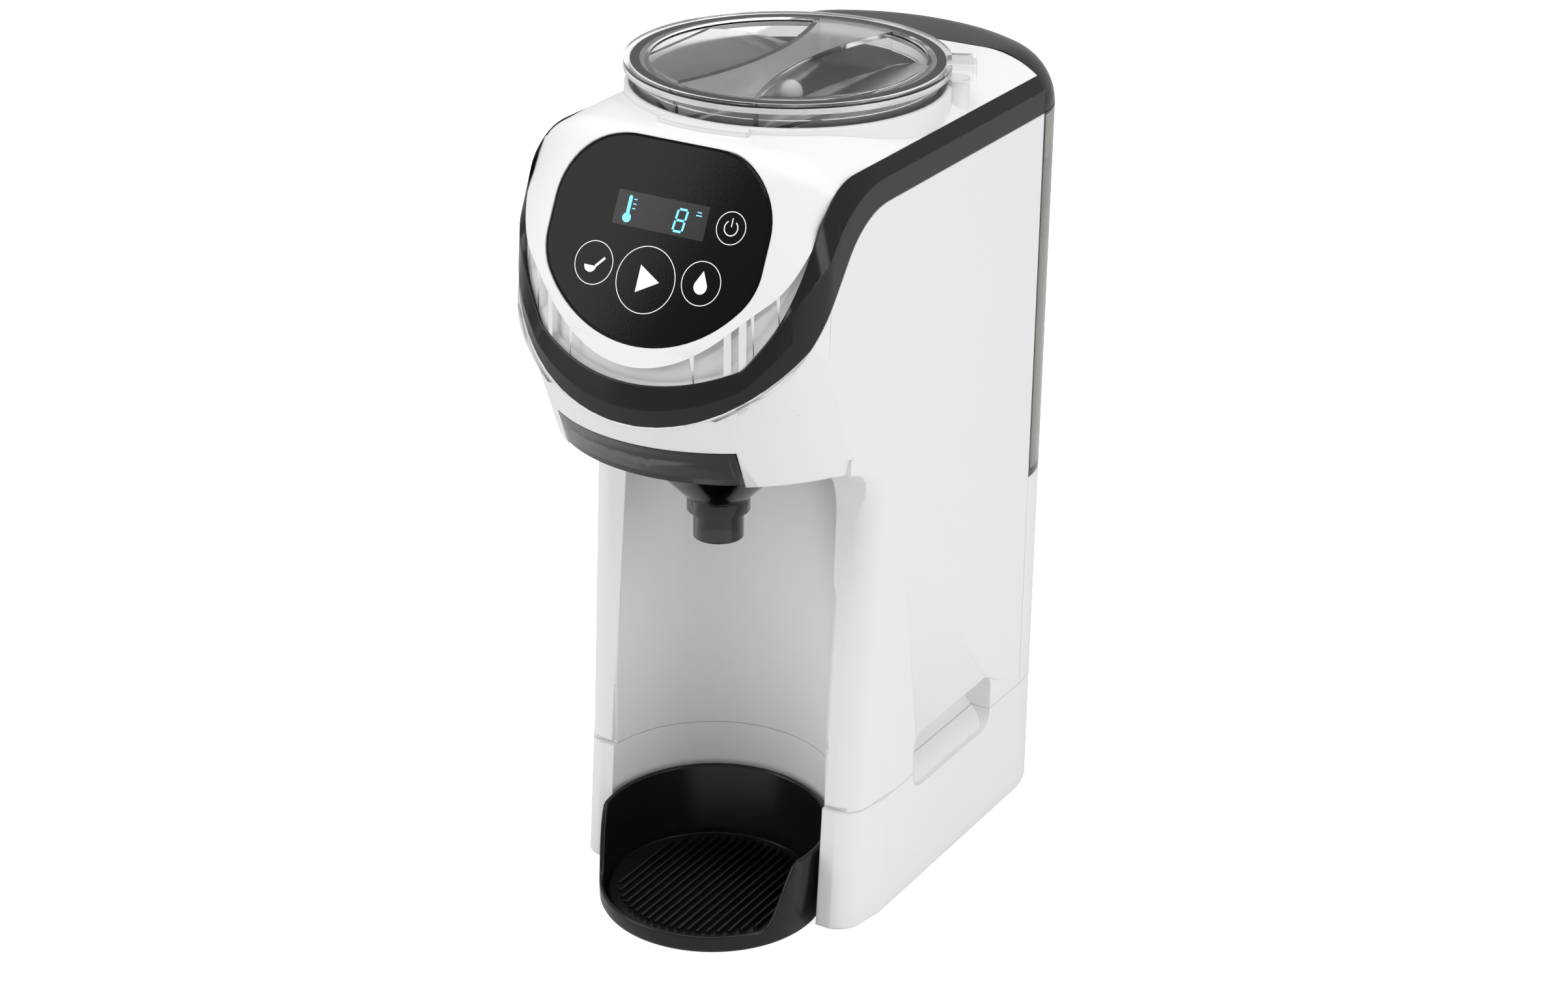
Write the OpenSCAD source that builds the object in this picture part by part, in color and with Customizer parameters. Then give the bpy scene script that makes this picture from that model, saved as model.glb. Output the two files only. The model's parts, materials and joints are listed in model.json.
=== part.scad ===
// Single-bottle baby formula maker: an upright housing with an overhanging head,
// a bottle bay, a powder container on top, a funnel drawer and a water tank behind.
// Origin: middle of the footprint, on the surface it stands on. Front is -Y, up is +Z.

/* [Housing] */
// Width of the housing
body_w = 140; // [138:0.5:144]
// Reach of the head in front of the origin
front_reach = 133; // [132:0.5:136]
// Reach of the tank behind the origin
rear_reach = 133; // [131:0.5:136]
// Wall of the moulded shells
wall = 3; // [2.6:0.1:3.4]
// Height of the parting line between base and body
seam_z = 56; // [54:0.5:58]
// Height of the deck round the powder container
deck_z = 346.5; // [346:0.25:347.5]
// Tilt of the face, back from upright
face_tilt = 25.6; // [24.5:0.1:26.5]
// Height of the rubber feet
foot_h = 2; // [1.5:0.25:3]

/* [Trim band] */
// Width of the band seen from above
trim_w = 4; // [3.6:0.1:4.2]
// Height of the band's lower edge on the sides
trim_low_z = 322.5; // [321:0.5:324]
// Height of the band's upper edge on the sides
trim_top_z = 338.5; // [338:0.25:339.5]
// Height of the upright lower facet
trim_facet_h = 10.4; // [9:0.2:12]

/* [Bottle bay] */
// Radius of the bay's round back wall
bay_r = 52; // [51:0.5:53]
// Distance of the bay's axis in front of the origin
bay_reach = 65; // [64:0.5:66]
// Height of the bay's ceiling
bay_top = 217; // [216:0.5:218]

/* [Powder container] */
// Outer radius of the container
cup_r = 62.3; // [61.5:0.1:62.4]
// Height of the container's rim
cup_top = 354.5; // [354:0.25:355]
// Wall of the container
cup_wall = 2; // [1.6:0.1:2.4]
// Radius of the lid's flange
lid_r = 66; // [65.5:0.25:67]
// Number of pockets in the dosing wheel
pockets = 8; // [6:1:10]

/* [Funnel drawer] */
// Half width of the drawer
drawer_half = 41; // [40:0.25:42]
// Height of the drawer's front rim
drawer_h = 15.5; // [14.5:0.25:16]
// Radius of the spout
spout_r = 10.5; // [9.5:0.25:11.5]

/* [Drip tray] */
// Radius of the tray at its rim
tray_r = 50; // [49.5:0.25:50.5]
// Height of the tray's back rim
tray_top = 35; // [32:0.5:38]
// Height of the tray's front rim
tray_low = 9; // [8.5:0.25:10]
// Pitch of the ribs on the grille
rib_pitch = 3.8; // [3.6:0.1:4.4]

/* [Water tank] */
// Distance of the tank's front wall behind the origin
tank_front = 83; // [82:0.5:84]
// Height of the seam under the tank
tank_low = 157; // [155:0.5:160]
// Wall of the tank
tank_wall = 2.5; // [2:0.1:3]

/* [Hidden] */
$fn = 96;

eps = 0.01;
gap = 0.4;
half = body_w / 2;
front_y = -front_reach;
rear_y = rear_reach;
shoulder_front = front_y + 42;
shoulder_rear = rear_y - 50;
front_r = 30;
rear_r = 42;

bay_y = -bay_reach;
well_y = -9;
spout_y = bay_y + 4;
face_y = front_y + 29.65;
face_z = deck_z - 27.1;
crown_flat = half - 29;
deck_crown_r = 42;
face_crown_r = 64;
ridge_r = 14;
cover_t = 2.5;
chin_lean = 23.1;
chin_r = 76.6;
chin_y = front_y + 5;
chin_z = bay_top + 16.5;
leg_foot_y = bay_y - 1.4;
leg_top_y = bay_y + 12.5;
leg_top_z = bay_top - 32;
leg_nose_r = 12;
bay_corner_r = 30;
plate_t = 3;
base_z = foot_h;

post_x = half - 9.5;
post_y = [bay_y + 27, tank_front - 17];

hole_r = cup_r + 1.5;
collar_r = hole_r + 2;
collar_top = deck_z + 2.5;
well_in = cup_r + 1;
well_out = well_in + 1.6;
well_floor = deck_z - 93.5;
well_plate = 3;
well_top = trim_top_z;
cup_floor = well_floor + 0.5;
cup_floor_t = 3;
outlet_r = 9;
outlet_reach = 48;
wheel_t = 9;
wheel_z = cup_floor + cup_floor_t + 0.5;
drive_plate_z = well_floor - 16;
gear_z = drive_plate_z + 4.5;
gear_t = 7;
gear_m = 1.5;
gear_teeth = 40;
pinion_teeth = 12;
gear_pitch_r = gear_m * gear_teeth / 2;
pinion_pitch_r = gear_m * pinion_teeth / 2;
gear_centres = gear_pitch_r + pinion_pitch_r + 0.3;
shaft_r = 4;
run_clear = 0.05;
bush_r = 6;

drawer_z = bay_top + 1;
drawer_back = bay_y + 47;
cone_r = drawer_half - 2;
tank_gap = 0.4;
seat_x = 0;
seat_y = rear_y - 27;
valve_r = 7;

// ---- profile helpers ----

// Radius of the nose arc that joins two shoulder arcs
function nose_r(c, r, reach) = (reach * reach + c * c - r * r) / (2 * (reach - r));

// Points of an arc that rounds the corner b of the path a, b, c
function corner_arc(a, b, c, r, n = 8) =
    let (
        u = (a - b) / norm(a - b),
        v = (c - b) / norm(c - b),
        bend = acos(u * v),
        reach = r / tan(bend / 2),
        mid = (u + v) / norm(u + v),
        centre = b + mid * r / sin(bend / 2),
        p = b + u * reach - centre,
        q = b + v * reach - centre,
        a0 = atan2(p[1], p[0]),
        raw = atan2(q[1], q[0]) - a0,
        turn = raw > 180 ? raw - 360 : raw < -180 ? raw + 360 : raw
    )
    [for (i = [0:n]) centre + r * [cos(a0 + turn * i / n), sin(a0 + turn * i / n)]];

// A point on the face: b up the slope, depth into the body, as [y, z]
function on_face(b, depth) = [
    face_y + b * sin(face_tilt) + depth * cos(face_tilt),
    face_z + b * cos(face_tilt) - depth * sin(face_tilt)
];

path_end = rear_reach + 10;

// Lower edge of the trim band in side view, from the nose to the rear
low_corner = [front_y + (trim_low_z - 240.5) / 1.27, trim_low_z];
low_path = concat([[front_y - 8, 240.5 - 10.16]],
    corner_arc([front_y, 240.5], low_corner, [0, trim_low_z], 38, 12),
    [[path_end, trim_low_z]]);

// Upper edge of the trim band in side view, sunk by a given depth
function top_path(sink) =
    let (
        kink = [front_y + 15, 270 - sink],
        corner = [kink[0] + (trim_top_z - 270) / 2.5, trim_top_z - sink]
    )
    concat([[front_y - 9, 247.5 - sink], kink],
        corner_arc(kink, corner, [0, trim_top_z - sink], 29, 12),
        [[path_end, trim_top_z - sink]]);

module side_prism(points, w = body_w + 2) {
    rotate([90, 0, 90]) linear_extrude(w, center = true) polygon(points);
}

// Everything below a side-view path
module below(path, floor_z = -1) {
    side_prism(concat(path, [[path_end, floor_z], [path[0][0], floor_z]]));
}

// Everything above a side-view path
module above(path, top = 420) {
    side_prism(concat(path, [[path_end, top], [path[0][0], top]]));
}

// Rounded end of the plan, shoulders on the X axis, nose towards +Y
module end_arc(r, reach, off) {
    c = half - r;
    big = nose_r(c, r, reach);
    yc = reach - big;
    // an inner outline meets its shoulders at a slight kink
    kink = off > 0 ? 0.3 : 0;
    for (s = [-1, 1]) translate([s * c, 0]) circle(r - off);
    intersection() {
        translate([0, yc + kink]) circle(big - off - kink);
        translate([0, yc]) polygon([[0, 0], [2.2 * c, -2.2 * yc], [-2.2 * c, -2.2 * yc]]);
    }
}

// Plan of the housing and tank, drawn in by off
module plan(off = 0) {
    translate([0, shoulder_front]) mirror([0, 1]) end_arc(front_r, shoulder_front - front_y, off);
    translate([0, shoulder_rear]) end_arc(rear_r, rear_y - shoulder_rear, off);
    translate([-half + off, shoulder_front]) square([body_w - 2 * off, shoulder_rear - shoulder_front]);
}

module tall_plan(off = 0, z0 = 0, z1 = 400) {
    translate([0, 0, z0]) linear_extrude(z1 - z0) plan(off);
}

// The half in front of, or behind, a plane across the depth
module slab_y(y0, y1, z0 = -1, z1 = 420) {
    translate([-half - 5, y0, z0]) cube([body_w + 10, y1 - y0, z1 - z0]);
}

// ---- shapes shared by the shells ----

// Leaning round chin under the trim band
module chin_round(off = 0) {
    translate([0, chin_y, chin_z]) rotate([chin_lean, 0, 0])
        translate([0, chin_r, -60]) cylinder(r = chin_r - off, h = 120);
}

// What the chin leaves out of the square-fronted head
module chin_waste(off = 0) {
    difference() {
        translate([-half - 5, front_y - 20, 0]) cube([body_w + 10, -60 - front_y + 20, 250]);
        chin_round(off);
    }
}

// Bottle bay with its front opening, grown outwards by grow
module bay(grow = 0) {
    top = bay_top + grow;
    foot = [leg_foot_y + grow, -1];
    head = [leg_top_y + (top - leg_top_z) * (leg_top_y - leg_foot_y) / leg_top_z + grow, top];
    translate([0, bay_y, -1]) cylinder(r = bay_r + grow, h = top + 1);
    side_prism(concat([[front_y - 20, -1], foot],
        corner_arc(foot, head, [front_y, top], bay_corner_r - grow),
        [[front_y - 20, top]]));
}

// What rounding the front corners of the legs takes away, grown inwards by grow
module leg_waste(grow = 0) {
    lean = atan((leg_top_y - leg_foot_y) / leg_top_z);
    c = leg_nose_r;
    top = leg_top_z + 6 + grow;
    intersection() {
        translate([0, leg_foot_y, 0]) rotate([-lean, 0, 0]) for (s = [0, 1]) mirror([s, 0, 0])
            translate([0, 0, -10]) linear_extrude(top + 30) difference() {
                translate([bay_r + 2, -20]) square([40, 20 + 32]);
                translate([half - c - 2, c - 0.2]) circle(c - grow);
                polygon([[0, -5], [half - c - 2.5, -5], [half - c - 2, c], [half - 2 - grow, c],
                    [half + 4 - grow, 44], [half + 4, 60], [0, 60]]);
            }
        side_prism([[-90, -5], [-90, top], [leg_top_y, top], [leg_top_y + 32, top - 32],
            [leg_foot_y + 80, -5]]);
    }
}

// Hand recess in one side: rounded slot that deepens upwards
module grip_slot(grow = 0) {
    y0 = tank_front - 99; y1 = tank_front - 29; z0 = seam_z - 8; z1 = seam_z + 18; r = 7; depth = 14;
    translate([half - depth - grow, 0, 0]) rotate([90, 0, 90]) linear_extrude(depth + grow + 5)
        union() {
            for (y = [y0 + r, y1 - r], z = [z0 + r, z1 - r]) translate([y, z]) circle(r + grow);
            translate([y0 + r, z0 - grow]) square([y1 - y0 - 2 * r, z1 - z0 + 2 * grow]);
            translate([y0 - grow, z0 + r]) square([y1 - y0 + 2 * grow, z1 - z0 - 2 * r]);
        }
}

// Slope of the recess's floor, which is deepest at the top
module grip_ramp(grow = 0) {
    translate([0, -60, 0]) rotate([-90, 0, 0]) linear_extrude(160)
        polygon([[half + 5, -40 + grow], [half + 5, -90], [half - 17 - grow, -90],
            [half - 17 - grow, -65.4 + grow], [half - grow, -46 + grow]]);
}

module grip(grow = 0) {
    for (s = [0, 1]) mirror([s, 0, 0]) intersection() {
        grip_slot(grow);
        grip_ramp(grow);
    }
}

// Gap in the ceiling and chin that the funnel drawer slides through
module drawer_gap() {
    translate([-drawer_half - gap, front_y - 20, bay_top - 2])
        cube([2 * (drawer_half + gap), drawer_back - front_y + 20 - gap, drawer_h + 3.4]);
}

// Inside of the hollow housing
module hollow(z0, z1) {
    difference() {
        intersection() {
            tall_plan(wall, z0, z1);
            slab_y(front_y, tank_front - wall);
        }
        bay(wall);
        leg_waste(wall);
        chin_waste(wall);
        grip(wall);
    }
}

// Posts that take the base screws
module screw_posts(z0, z1, r) {
    for (s = [-1, 1], y = post_y) translate([s * post_x, y, z0]) cylinder(r = r, h = z1 - z0);
}

// ---- housing ----

module base_plate() color("gray") difference() {
    tall_plan(wall + 0.3, base_z, base_z + plate_t);
    bay(wall + 0.3);
    leg_waste(wall + 0.3);
    screw_posts(0, 20, 1.7);
    foot_places(0, 1.2, 6);
    // breathing slots under the works
    for (i = [-3:3]) translate([-20, works_y - 8 + 6 * i, 0]) cube([40, 2.4, 20]);
}

module foot_places(z0, z1, r) {
    for (s = [-1, 1]) {
        translate([s * (half - 11), bay_y + 17, z0]) cylinder(r = r, h = base_z + z1 - z0);
        translate([s * (half - 25), rear_y - 25, z0]) cylinder(r = r, h = base_z + z1 - z0);
    }
}

module rubber_feet() color("dimgray") foot_places(0, 1.2, 6);

module base_screws() color("silver") for (s = [-1, 1], y = post_y)
    translate([s * post_x, y, base_z - 0.8]) {
        cylinder(r = 2.8, h = 0.8);
        cylinder(r = 1.5, h = 12);
    }

module base_shell() color("white") difference() {
    union() {
        difference() {
            tall_plan(0, base_z, seam_z);
            difference() {
                tall_plan(wall, base_z - 1, seam_z + 1);
                bay(wall);
                leg_waste(wall);
                grip(wall);
            }
        }
        // posts for the base screws, joined to the side walls
        for (s = [0, 1], y = post_y) mirror([s, 0, 0]) translate([post_x, y, base_z + plate_t]) {
            cylinder(r = 4, h = 24);
            translate([0, -1.5, 0]) cube([half - post_x - 1, 3, 24]);
        }
    }
    bay();
    leg_waste();
    grip();
    screw_posts(0, 22, 1.5);
    inlet_block();
}

module body_shell() color("white") difference() {
    union() {
        difference() {
            intersection() {
                tall_plan(0, seam_z, 400);
                below(low_path);
                slab_y(front_y - 5, tank_front);
            }
            hollow(seam_z - 1, 400);
            chin_waste();
        }
        // shelf that carries the drive plate and the container well
        for (s = [0, 1]) mirror([s, 0, 0])
            translate([half - wall - 5, well_y - 21, drive_plate_z - 4]) cube([5 + eps, 80, 4]);
    }
    bay();
    leg_waste();
    grip();
    drawer_gap();
}

module rear_cover() color("white") difference() {
    intersection() {
        tall_plan(0, seam_z, tank_low);
        slab_y(tank_front, rear_y + 5);
    }
    intersection() {
        tall_plan(wall, seam_z - 1, tank_low - 5);
        slab_y(tank_front - 1, rear_y + 5);
    }
    translate([seat_x, seat_y, tank_low - 6]) cylinder(r = 17, h = 10);
}

// Side view of the band's body, its upper edge sunk and its width set by the facet's slope
module trim_slab(sink, w) {
    side_prism(concat(top_path(sink), [[path_end, 220], [front_y - 9, 220]]), w);
}

// Wall ring of the trim band with its sloping upper facet
module trim_band() color("#222222") {
    slope = (trim_top_z - trim_low_z - trim_facet_h) / trim_w;
    intersection() {
        difference() {
            tall_plan(0, 200, 360);
            tall_plan(trim_w, 199, 361);
        }
        above(low_path);
        slab_y(front_y - 5, tank_front);
        hull() {
            trim_slab(-slope, body_w - 2 * trim_w - 2);
            trim_slab(slope * (trim_w + 1), body_w + 2);
        }
    }
}

// Crowned section: flat in the middle, falling away to both edges; top at y = 0
module crown(r) {
    for (s = [-1, 1]) translate([s * crown_flat, -r]) circle(r);
    translate([-crown_flat, -r]) square([2 * crown_flat, r]);
    translate([-half - 10, -150]) square([body_w + 20, 150 - r]);
}

// Outside of the face and deck, drawn in by sink
module cover_form(sink = 0) {
    low = on_face(-120, sink);
    ridge_b = (deck_z - sink - face_z + sink * sin(face_tilt)) / cos(face_tilt);
    ridge = on_face(ridge_b, sink);
    intersection() {
        tall_plan(trim_w + sink, 200, 400);
        side_prism(concat([low], corner_arc(low, ridge, [tank_front, deck_z - sink], ridge_r - sink, 12),
            [[tank_front + 5, deck_z - sink], [tank_front + 5, low[1]]]));
        translate([0, 200, deck_z + 0.2 - sink]) rotate([90, 0, 0]) linear_extrude(400)
            crown(deck_crown_r);
        at_face(sink - 0.2) rotate([90, 0, 0]) linear_extrude(300, center = true)
            crown(face_crown_r);
    }
}

// Outline of the control lens in face coordinates
module lens_outline(grow = 0) {
    top_c = [18.5, -1]; top_r = 30; low_c = [22.5, -14]; low_r = 26; low_reach = 37;
    big = nose_r(low_c[0], low_r, low_reach);
    for (s = [-1, 1]) {
        translate([s * top_c[0], top_c[1]]) circle(top_r + grow);
        translate([s * low_c[0], low_c[1]]) circle(low_r + grow);
    }
    translate([-top_c[0], 0]) square([2 * top_c[0], top_c[1] + top_r + grow]);
    translate([-48.5 - grow, low_c[1]]) square([97 + 2 * grow, top_c[1] - low_c[1]]);
    yc = low_c[1] - low_reach + big;
    intersection() {
        translate([0, yc]) circle(big + grow);
        k = 3;
        translate([0, yc]) polygon([[0, 0], [low_c[0] * k, (low_c[1] - yc) * k],
            [-low_c[0] * k, (low_c[1] - yc) * k]]);
    }
}

// Puts a drawing on the face: X across, Y up the slope, Z out of the face
module at_face(depth = 0) {
    translate([0, face_y, face_z]) rotate([90 - face_tilt, 0, 0]) translate([0, 0, -depth])
        children();
}

lens_t = 2.2;
lens_sunk = 0.3;
lens_bed = 5.5;

module top_cover() color("white") difference() {
    union() {
        intersection() {
            difference() {
                cover_form();
                difference() {
                    cover_form(cover_t);
                    at_face(lens_bed) linear_extrude(20) lens_outline(3);
                }
            }
            above(top_path(3));
            slab_y(front_y - 5, tank_front);
        }
        // collar round the container
        intersection() {
            union() {
                translate([0, well_y, well_top]) cylinder(r = collar_r, h = collar_top - well_top);
                // raised pad in front of the collar
                translate([0, well_y, deck_z - cover_t]) intersection() {
                    cylinder(r = collar_r + 4.6, h = collar_top - 0.6 - deck_z + cover_t);
                    linear_extrude(20) polygon([[0, 0], [-21, -78], [25, -77]]);
                }
            }
            tall_plan(trim_w, 300, 400);
        }
        // stop for the lid's lug
        intersection() {
            translate([0, well_y, 0]) rotate([0, 0, 29]) translate([68, 0, deck_z - 8])
                cylinder(r = 6, h = 13);
            tall_plan(trim_w, 300, 400);
        }
    }
    translate([0, well_y, 300]) cylinder(r = hole_r, h = 100);
    translate([0, well_y, 300]) cylinder(r = well_out + 0.1, h = well_top - 300);
    at_face(lens_sunk + lens_t) linear_extrude(20) lens_outline(0.2);
    // window behind the display
    at_face(20) linear_extrude(30) square([46, 18], center = true);
}

module control_lens() color("#050505") at_face(lens_sunk + lens_t) linear_extrude(lens_t) lens_outline();

module display_module() color("#0a1a20") at_face(lens_bed + 1.2) {
    translate([-22, -8, 0]) cube([44, 16, lens_bed + 1.2 - lens_sunk - lens_t]);
    translate([-26, -11, 0]) cube([52, 22, 1.2]);
}

board_depth = lens_bed + 1.2 + 1.6;

module control_board() color("darkgreen") at_face(board_depth) difference() {
    translate([-36, -34, 0]) cube([72, 56, 1.6]);
    for (s = [-1, 1], b = [-30, 18]) translate([s * 32, b, -1]) cylinder(r = 1.3, h = 4);
}

module board_screws() color("silver") at_face(board_depth + 1.2) for (s = [-1, 1], b = [-30, 18])
    translate([s * 32, b, 0]) {
        cylinder(r = 2.2, h = 1.2);
        cylinder(r = 1.25, h = 1.2 + board_depth - lens_bed);
    }

// ---- powder drive ----

module container_well() color("gainsboro") difference() {
    union() {
        translate([0, well_y, well_floor - well_plate]) cylinder(r = well_out, h = well_top - well_floor + well_plate);
        // chute under the outlet
        translate([0, well_y - outlet_reach, well_floor - 14]) cylinder(r = outlet_r + 3.5, h = 14);
    }
    translate([0, well_y, well_floor]) cylinder(r = well_in, h = 100);
    translate([0, well_y - outlet_reach, 200]) cylinder(r = outlet_r + 1.5, h = 100);
    translate([0, well_y, 200]) cylinder(r = bush_r, h = 100);
}

module shaft_bushes() color("goldenrod") for (z = [drive_plate_z, well_floor - well_plate])
    translate([0, well_y, z]) difference() {
        cylinder(r = bush_r, h = 3);
        translate([0, 0, -1]) cylinder(r = shaft_r + run_clear, h = 5);
    }

pinion_y = well_y + gear_centres;

module drive_plate() color("silver") difference() {
    union() {
        translate([-half + wall + 0.5, -24, drive_plate_z]) cube([body_w - 2 * wall - 1, 86, 3]);
        // posts that carry the well
        for (s = [-1, 1], p = [[50, -19], [46, 30]]) translate([s * p[0], p[1], drive_plate_z])
            cylinder(r = 4, h = well_floor - well_plate - drive_plate_z);
    }
    translate([0, well_y, 200]) cylinder(r = bush_r, h = 100);
    translate([0, pinion_y, 200]) cylinder(r = 9, h = 100);
    for (s = [-1, 1]) translate([s * 32, 44, 200]) cylinder(r = 9, h = 100);
}

module gear_motor() color("dimgray") translate([0, pinion_y, 0]) difference() {
    union() {
        translate([0, 0, drive_plate_z - 38]) cylinder(r = 14, h = 24);
        translate([0, 0, drive_plate_z - 14]) cylinder(r = 18, h = 14);
        translate([0, 0, drive_plate_z - 41]) cylinder(r = 5, h = 3);
    }
    translate([0, 0, drive_plate_z - 10]) cylinder(r = 3 + run_clear, h = 20);
}

// Outline of a spur gear with straight-sided teeth and rounded roots
module gear_outline(teeth, phase = 0) {
    pitch_r = gear_m * teeth / 2;
    tip_r = pitch_r + gear_m * 0.9;
    root_r = pitch_r - gear_m * 1.2;
    step = 360 / teeth;
    circle(root_r + eps);
    for (i = [0:teeth - 1]) rotate(i * step + phase)
        polygon([[root_r - 1, -0.34 * PI * gear_m], [root_r + 0.1, -0.31 * PI * gear_m],
            [pitch_r, -0.23 * PI * gear_m], [tip_r, -0.12 * PI * gear_m],
            [tip_r, 0.12 * PI * gear_m], [pitch_r, 0.23 * PI * gear_m],
            [root_r + 0.1, 0.31 * PI * gear_m], [root_r - 1, 0.34 * PI * gear_m]]);
}

module motor_pinion() color("goldenrod") translate([0, pinion_y, 0]) {
    translate([0, 0, gear_z]) linear_extrude(gear_t) gear_outline(pinion_teeth, -90 + 180 / pinion_teeth);
    translate([0, 0, drive_plate_z - 9]) cylinder(r = 3, h = gear_z + gear_t - drive_plate_z + 9);
}

module drive_gear() color("ivory") translate([0, well_y, gear_z]) difference() {
    union() {
        linear_extrude(gear_t) gear_outline(gear_teeth, 90);
        cylinder(r = 8, h = gear_t + 0.8);
    }
    translate([0, 0, -1]) cylinder(r = shaft_r, h = 20);
    for (i = [0:5]) rotate(i * 60) translate([18, 0, -1]) cylinder(r = 6, h = 20);
}

// Shaft with the cross-shaped dog that drives the wheel
module drive_coupling() color("silver") translate([0, well_y, 0]) {
    translate([0, 0, drive_plate_z - 2]) cylinder(r = shaft_r, h = well_floor - drive_plate_z + 2);
    translate([0, 0, well_floor - eps]) cylinder(r = shaft_r, h = 0.5);
    for (a = [0, 90]) rotate(a) translate([-7, -1.8, well_floor + 0.4]) cube([14, 3.6, 6.6]);
}

module powder_container() color("#ffffff50") translate([0, well_y, 0]) difference() {
    union() {
        translate([0, 0, cup_floor]) cylinder(r = cup_r, h = cup_top - cup_floor);
        // guide rib on the front
        rotate(-103.6) translate([cup_r - 1, -0.8, cup_floor + 10]) cube([1.6, 1.6, cup_top - cup_floor - 12]);
    }
    translate([0, 0, cup_floor + cup_floor_t]) cylinder(r = cup_r - cup_wall, h = 200);
    translate([0, 0, cup_floor - 1]) cylinder(r = cup_r - 5, h = 10);
}

module container_floor() color("gainsboro") translate([0, well_y, cup_floor]) difference() {
    cylinder(r = cup_r - 5, h = cup_floor_t);
    translate([0, -outlet_reach, -1]) cylinder(r = outlet_r, h = 10);
    translate([0, 0, -1]) cylinder(r = 11 + run_clear, h = 10);
}

// Fixed plate over the outlet that wipes each pocket level
module strike_plate() color("white") translate([0, well_y, wheel_z + wheel_t + 0.5]) {
    intersection() {
        cylinder(r = cup_r - cup_wall, h = 1.6);
        rotate(-90) linear_extrude(1.6) polygon([[30, -9], [70, -24], [70, 24], [30, 9]]);
    }
}

module dosing_wheel() color("#d8d8d8") translate([0, well_y, 0]) difference() {
    union() {
        translate([0, 0, wheel_z]) cylinder(r = cup_r - cup_wall - 0.6, h = wheel_t);
        translate([0, 0, cup_floor + 0.4]) cylinder(r = 11, h = wheel_z - cup_floor);
    }
    for (i = [0:pockets - 1]) rotate(i * 360 / pockets + 90)
        translate([outlet_reach, 0, 0]) cylinder(r = outlet_r, h = 400);
    // socket for the cross-shaped dog
    for (a = [0, 90]) rotate(a) translate([-7.4, -2.2, well_floor - 1]) cube([14.8, 4.4, 8.4]);
}

module stirrer() color("white") translate([0, well_y, 0]) {
    hub_z = wheel_z + wheel_t;
    translate([0, 0, hub_z]) cylinder(r = 12, h = 14);
    translate([0, 0, hub_z + 14]) cylinder(r = 4, h = 62);
    translate([0, 0, hub_z + 78]) sphere(r = 5);
    for (i = [0:3]) rotate(45 + 90 * i) {
        translate([8, -1.5, hub_z + 2.6]) cube([46, 3, 8]);
        translate([30, 0, hub_z + 10]) cylinder(r = 2, h = 48);
    }
    for (i = [0:1]) rotate(45 + 180 * i) translate([3, -1.5, hub_z + 54]) cube([28, 3, 4]);
}

// ---- lid ----

scoop_bow = 152;
scoop_edge = 9;
scoop_rim = 56;
lid_t = 2.4;
lid_top = 359;

// Plan of one finger scoop
module scoop_plan(grow = 0) {
    intersection() {
        circle(scoop_rim + grow);
        translate([scoop_edge + scoop_bow, 0]) circle(scoop_bow + grow);
    }
}

// A scoop that is deepest beside the grip ridge
module scoop(grow = 0) {
    intersection() {
        translate([0, 0, lid_top - 30]) linear_extrude(40) scoop_plan(grow);
        translate([0, 80, lid_top]) rotate([90, 0, 0]) linear_extrude(160)
            polygon([[0, 20], [70, 20], [70, -1 - grow], [52, -2 - grow], [16, -15 - grow],
                [0, -15 - grow]]);
    }
}

module container_lid() color("#ffffff60") translate([0, well_y, 0]) difference() {
    union() {
        translate([0, 0, lid_top - lid_t]) cylinder(r = lid_r, h = lid_t);
        // turned-down rim outside the container and spigot inside it
        translate([0, 0, cup_top + 0.4]) difference() {
            cylinder(r = lid_r, h = lid_top - cup_top - 1);
            translate([0, 0, -1]) cylinder(r = cup_r + 1.3, h = 50);
        }
        translate([0, 0, cup_top - 4]) difference() {
            cylinder(r = cup_r - cup_wall - 1, h = lid_top - cup_top + 3);
            translate([0, 0, -1]) cylinder(r = cup_r - cup_wall - 2.8, h = 50);
        }
        intersection() {
            for (s = [0, 1]) mirror([s, 0, 0]) scoop(1.8);
            translate([0, 0, lid_top - 40]) cylinder(r = scoop_rim + 1.7, h = 40);
        }
        // lug with its thumb rest
        rotate(29) translate([cup_r + 2, -8, lid_top - 7]) cube([11, 16, 7]);
    }
    for (s = [0, 1]) mirror([s, 0, 0]) scoop();
    rotate(29) translate([cup_r + 1.3, -6.4, lid_top - 8]) cube([10.4, 12.8, 6.4]);
}

module lid_gasket() color("#e8e8e8") translate([0, well_y, cup_top + 0.3]) difference() {
    cylinder(r = cup_r + 1, h = lid_top - lid_t - cup_top - 0.3);
    translate([0, 0, -1]) cylinder(r = cup_r - cup_wall - 0.9, h = 10);
}

// ---- funnel drawer ----

rib_z = drawer_z + 9;
rib_t = 2;
drawer_wall = 3.2;
rail_h = 15;

// A rail with the rib that the drawer's groove runs on
module funnel_rails() color("gainsboro") for (s = [0, 1]) mirror([s, 0, 0]) {
    translate([drawer_half + gap, -96, bay_top + wall]) cube([5, 78, rail_h]);
    translate([drawer_half - 1.1, -94, rib_z]) cube([2, 70, rib_t]);
}

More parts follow.
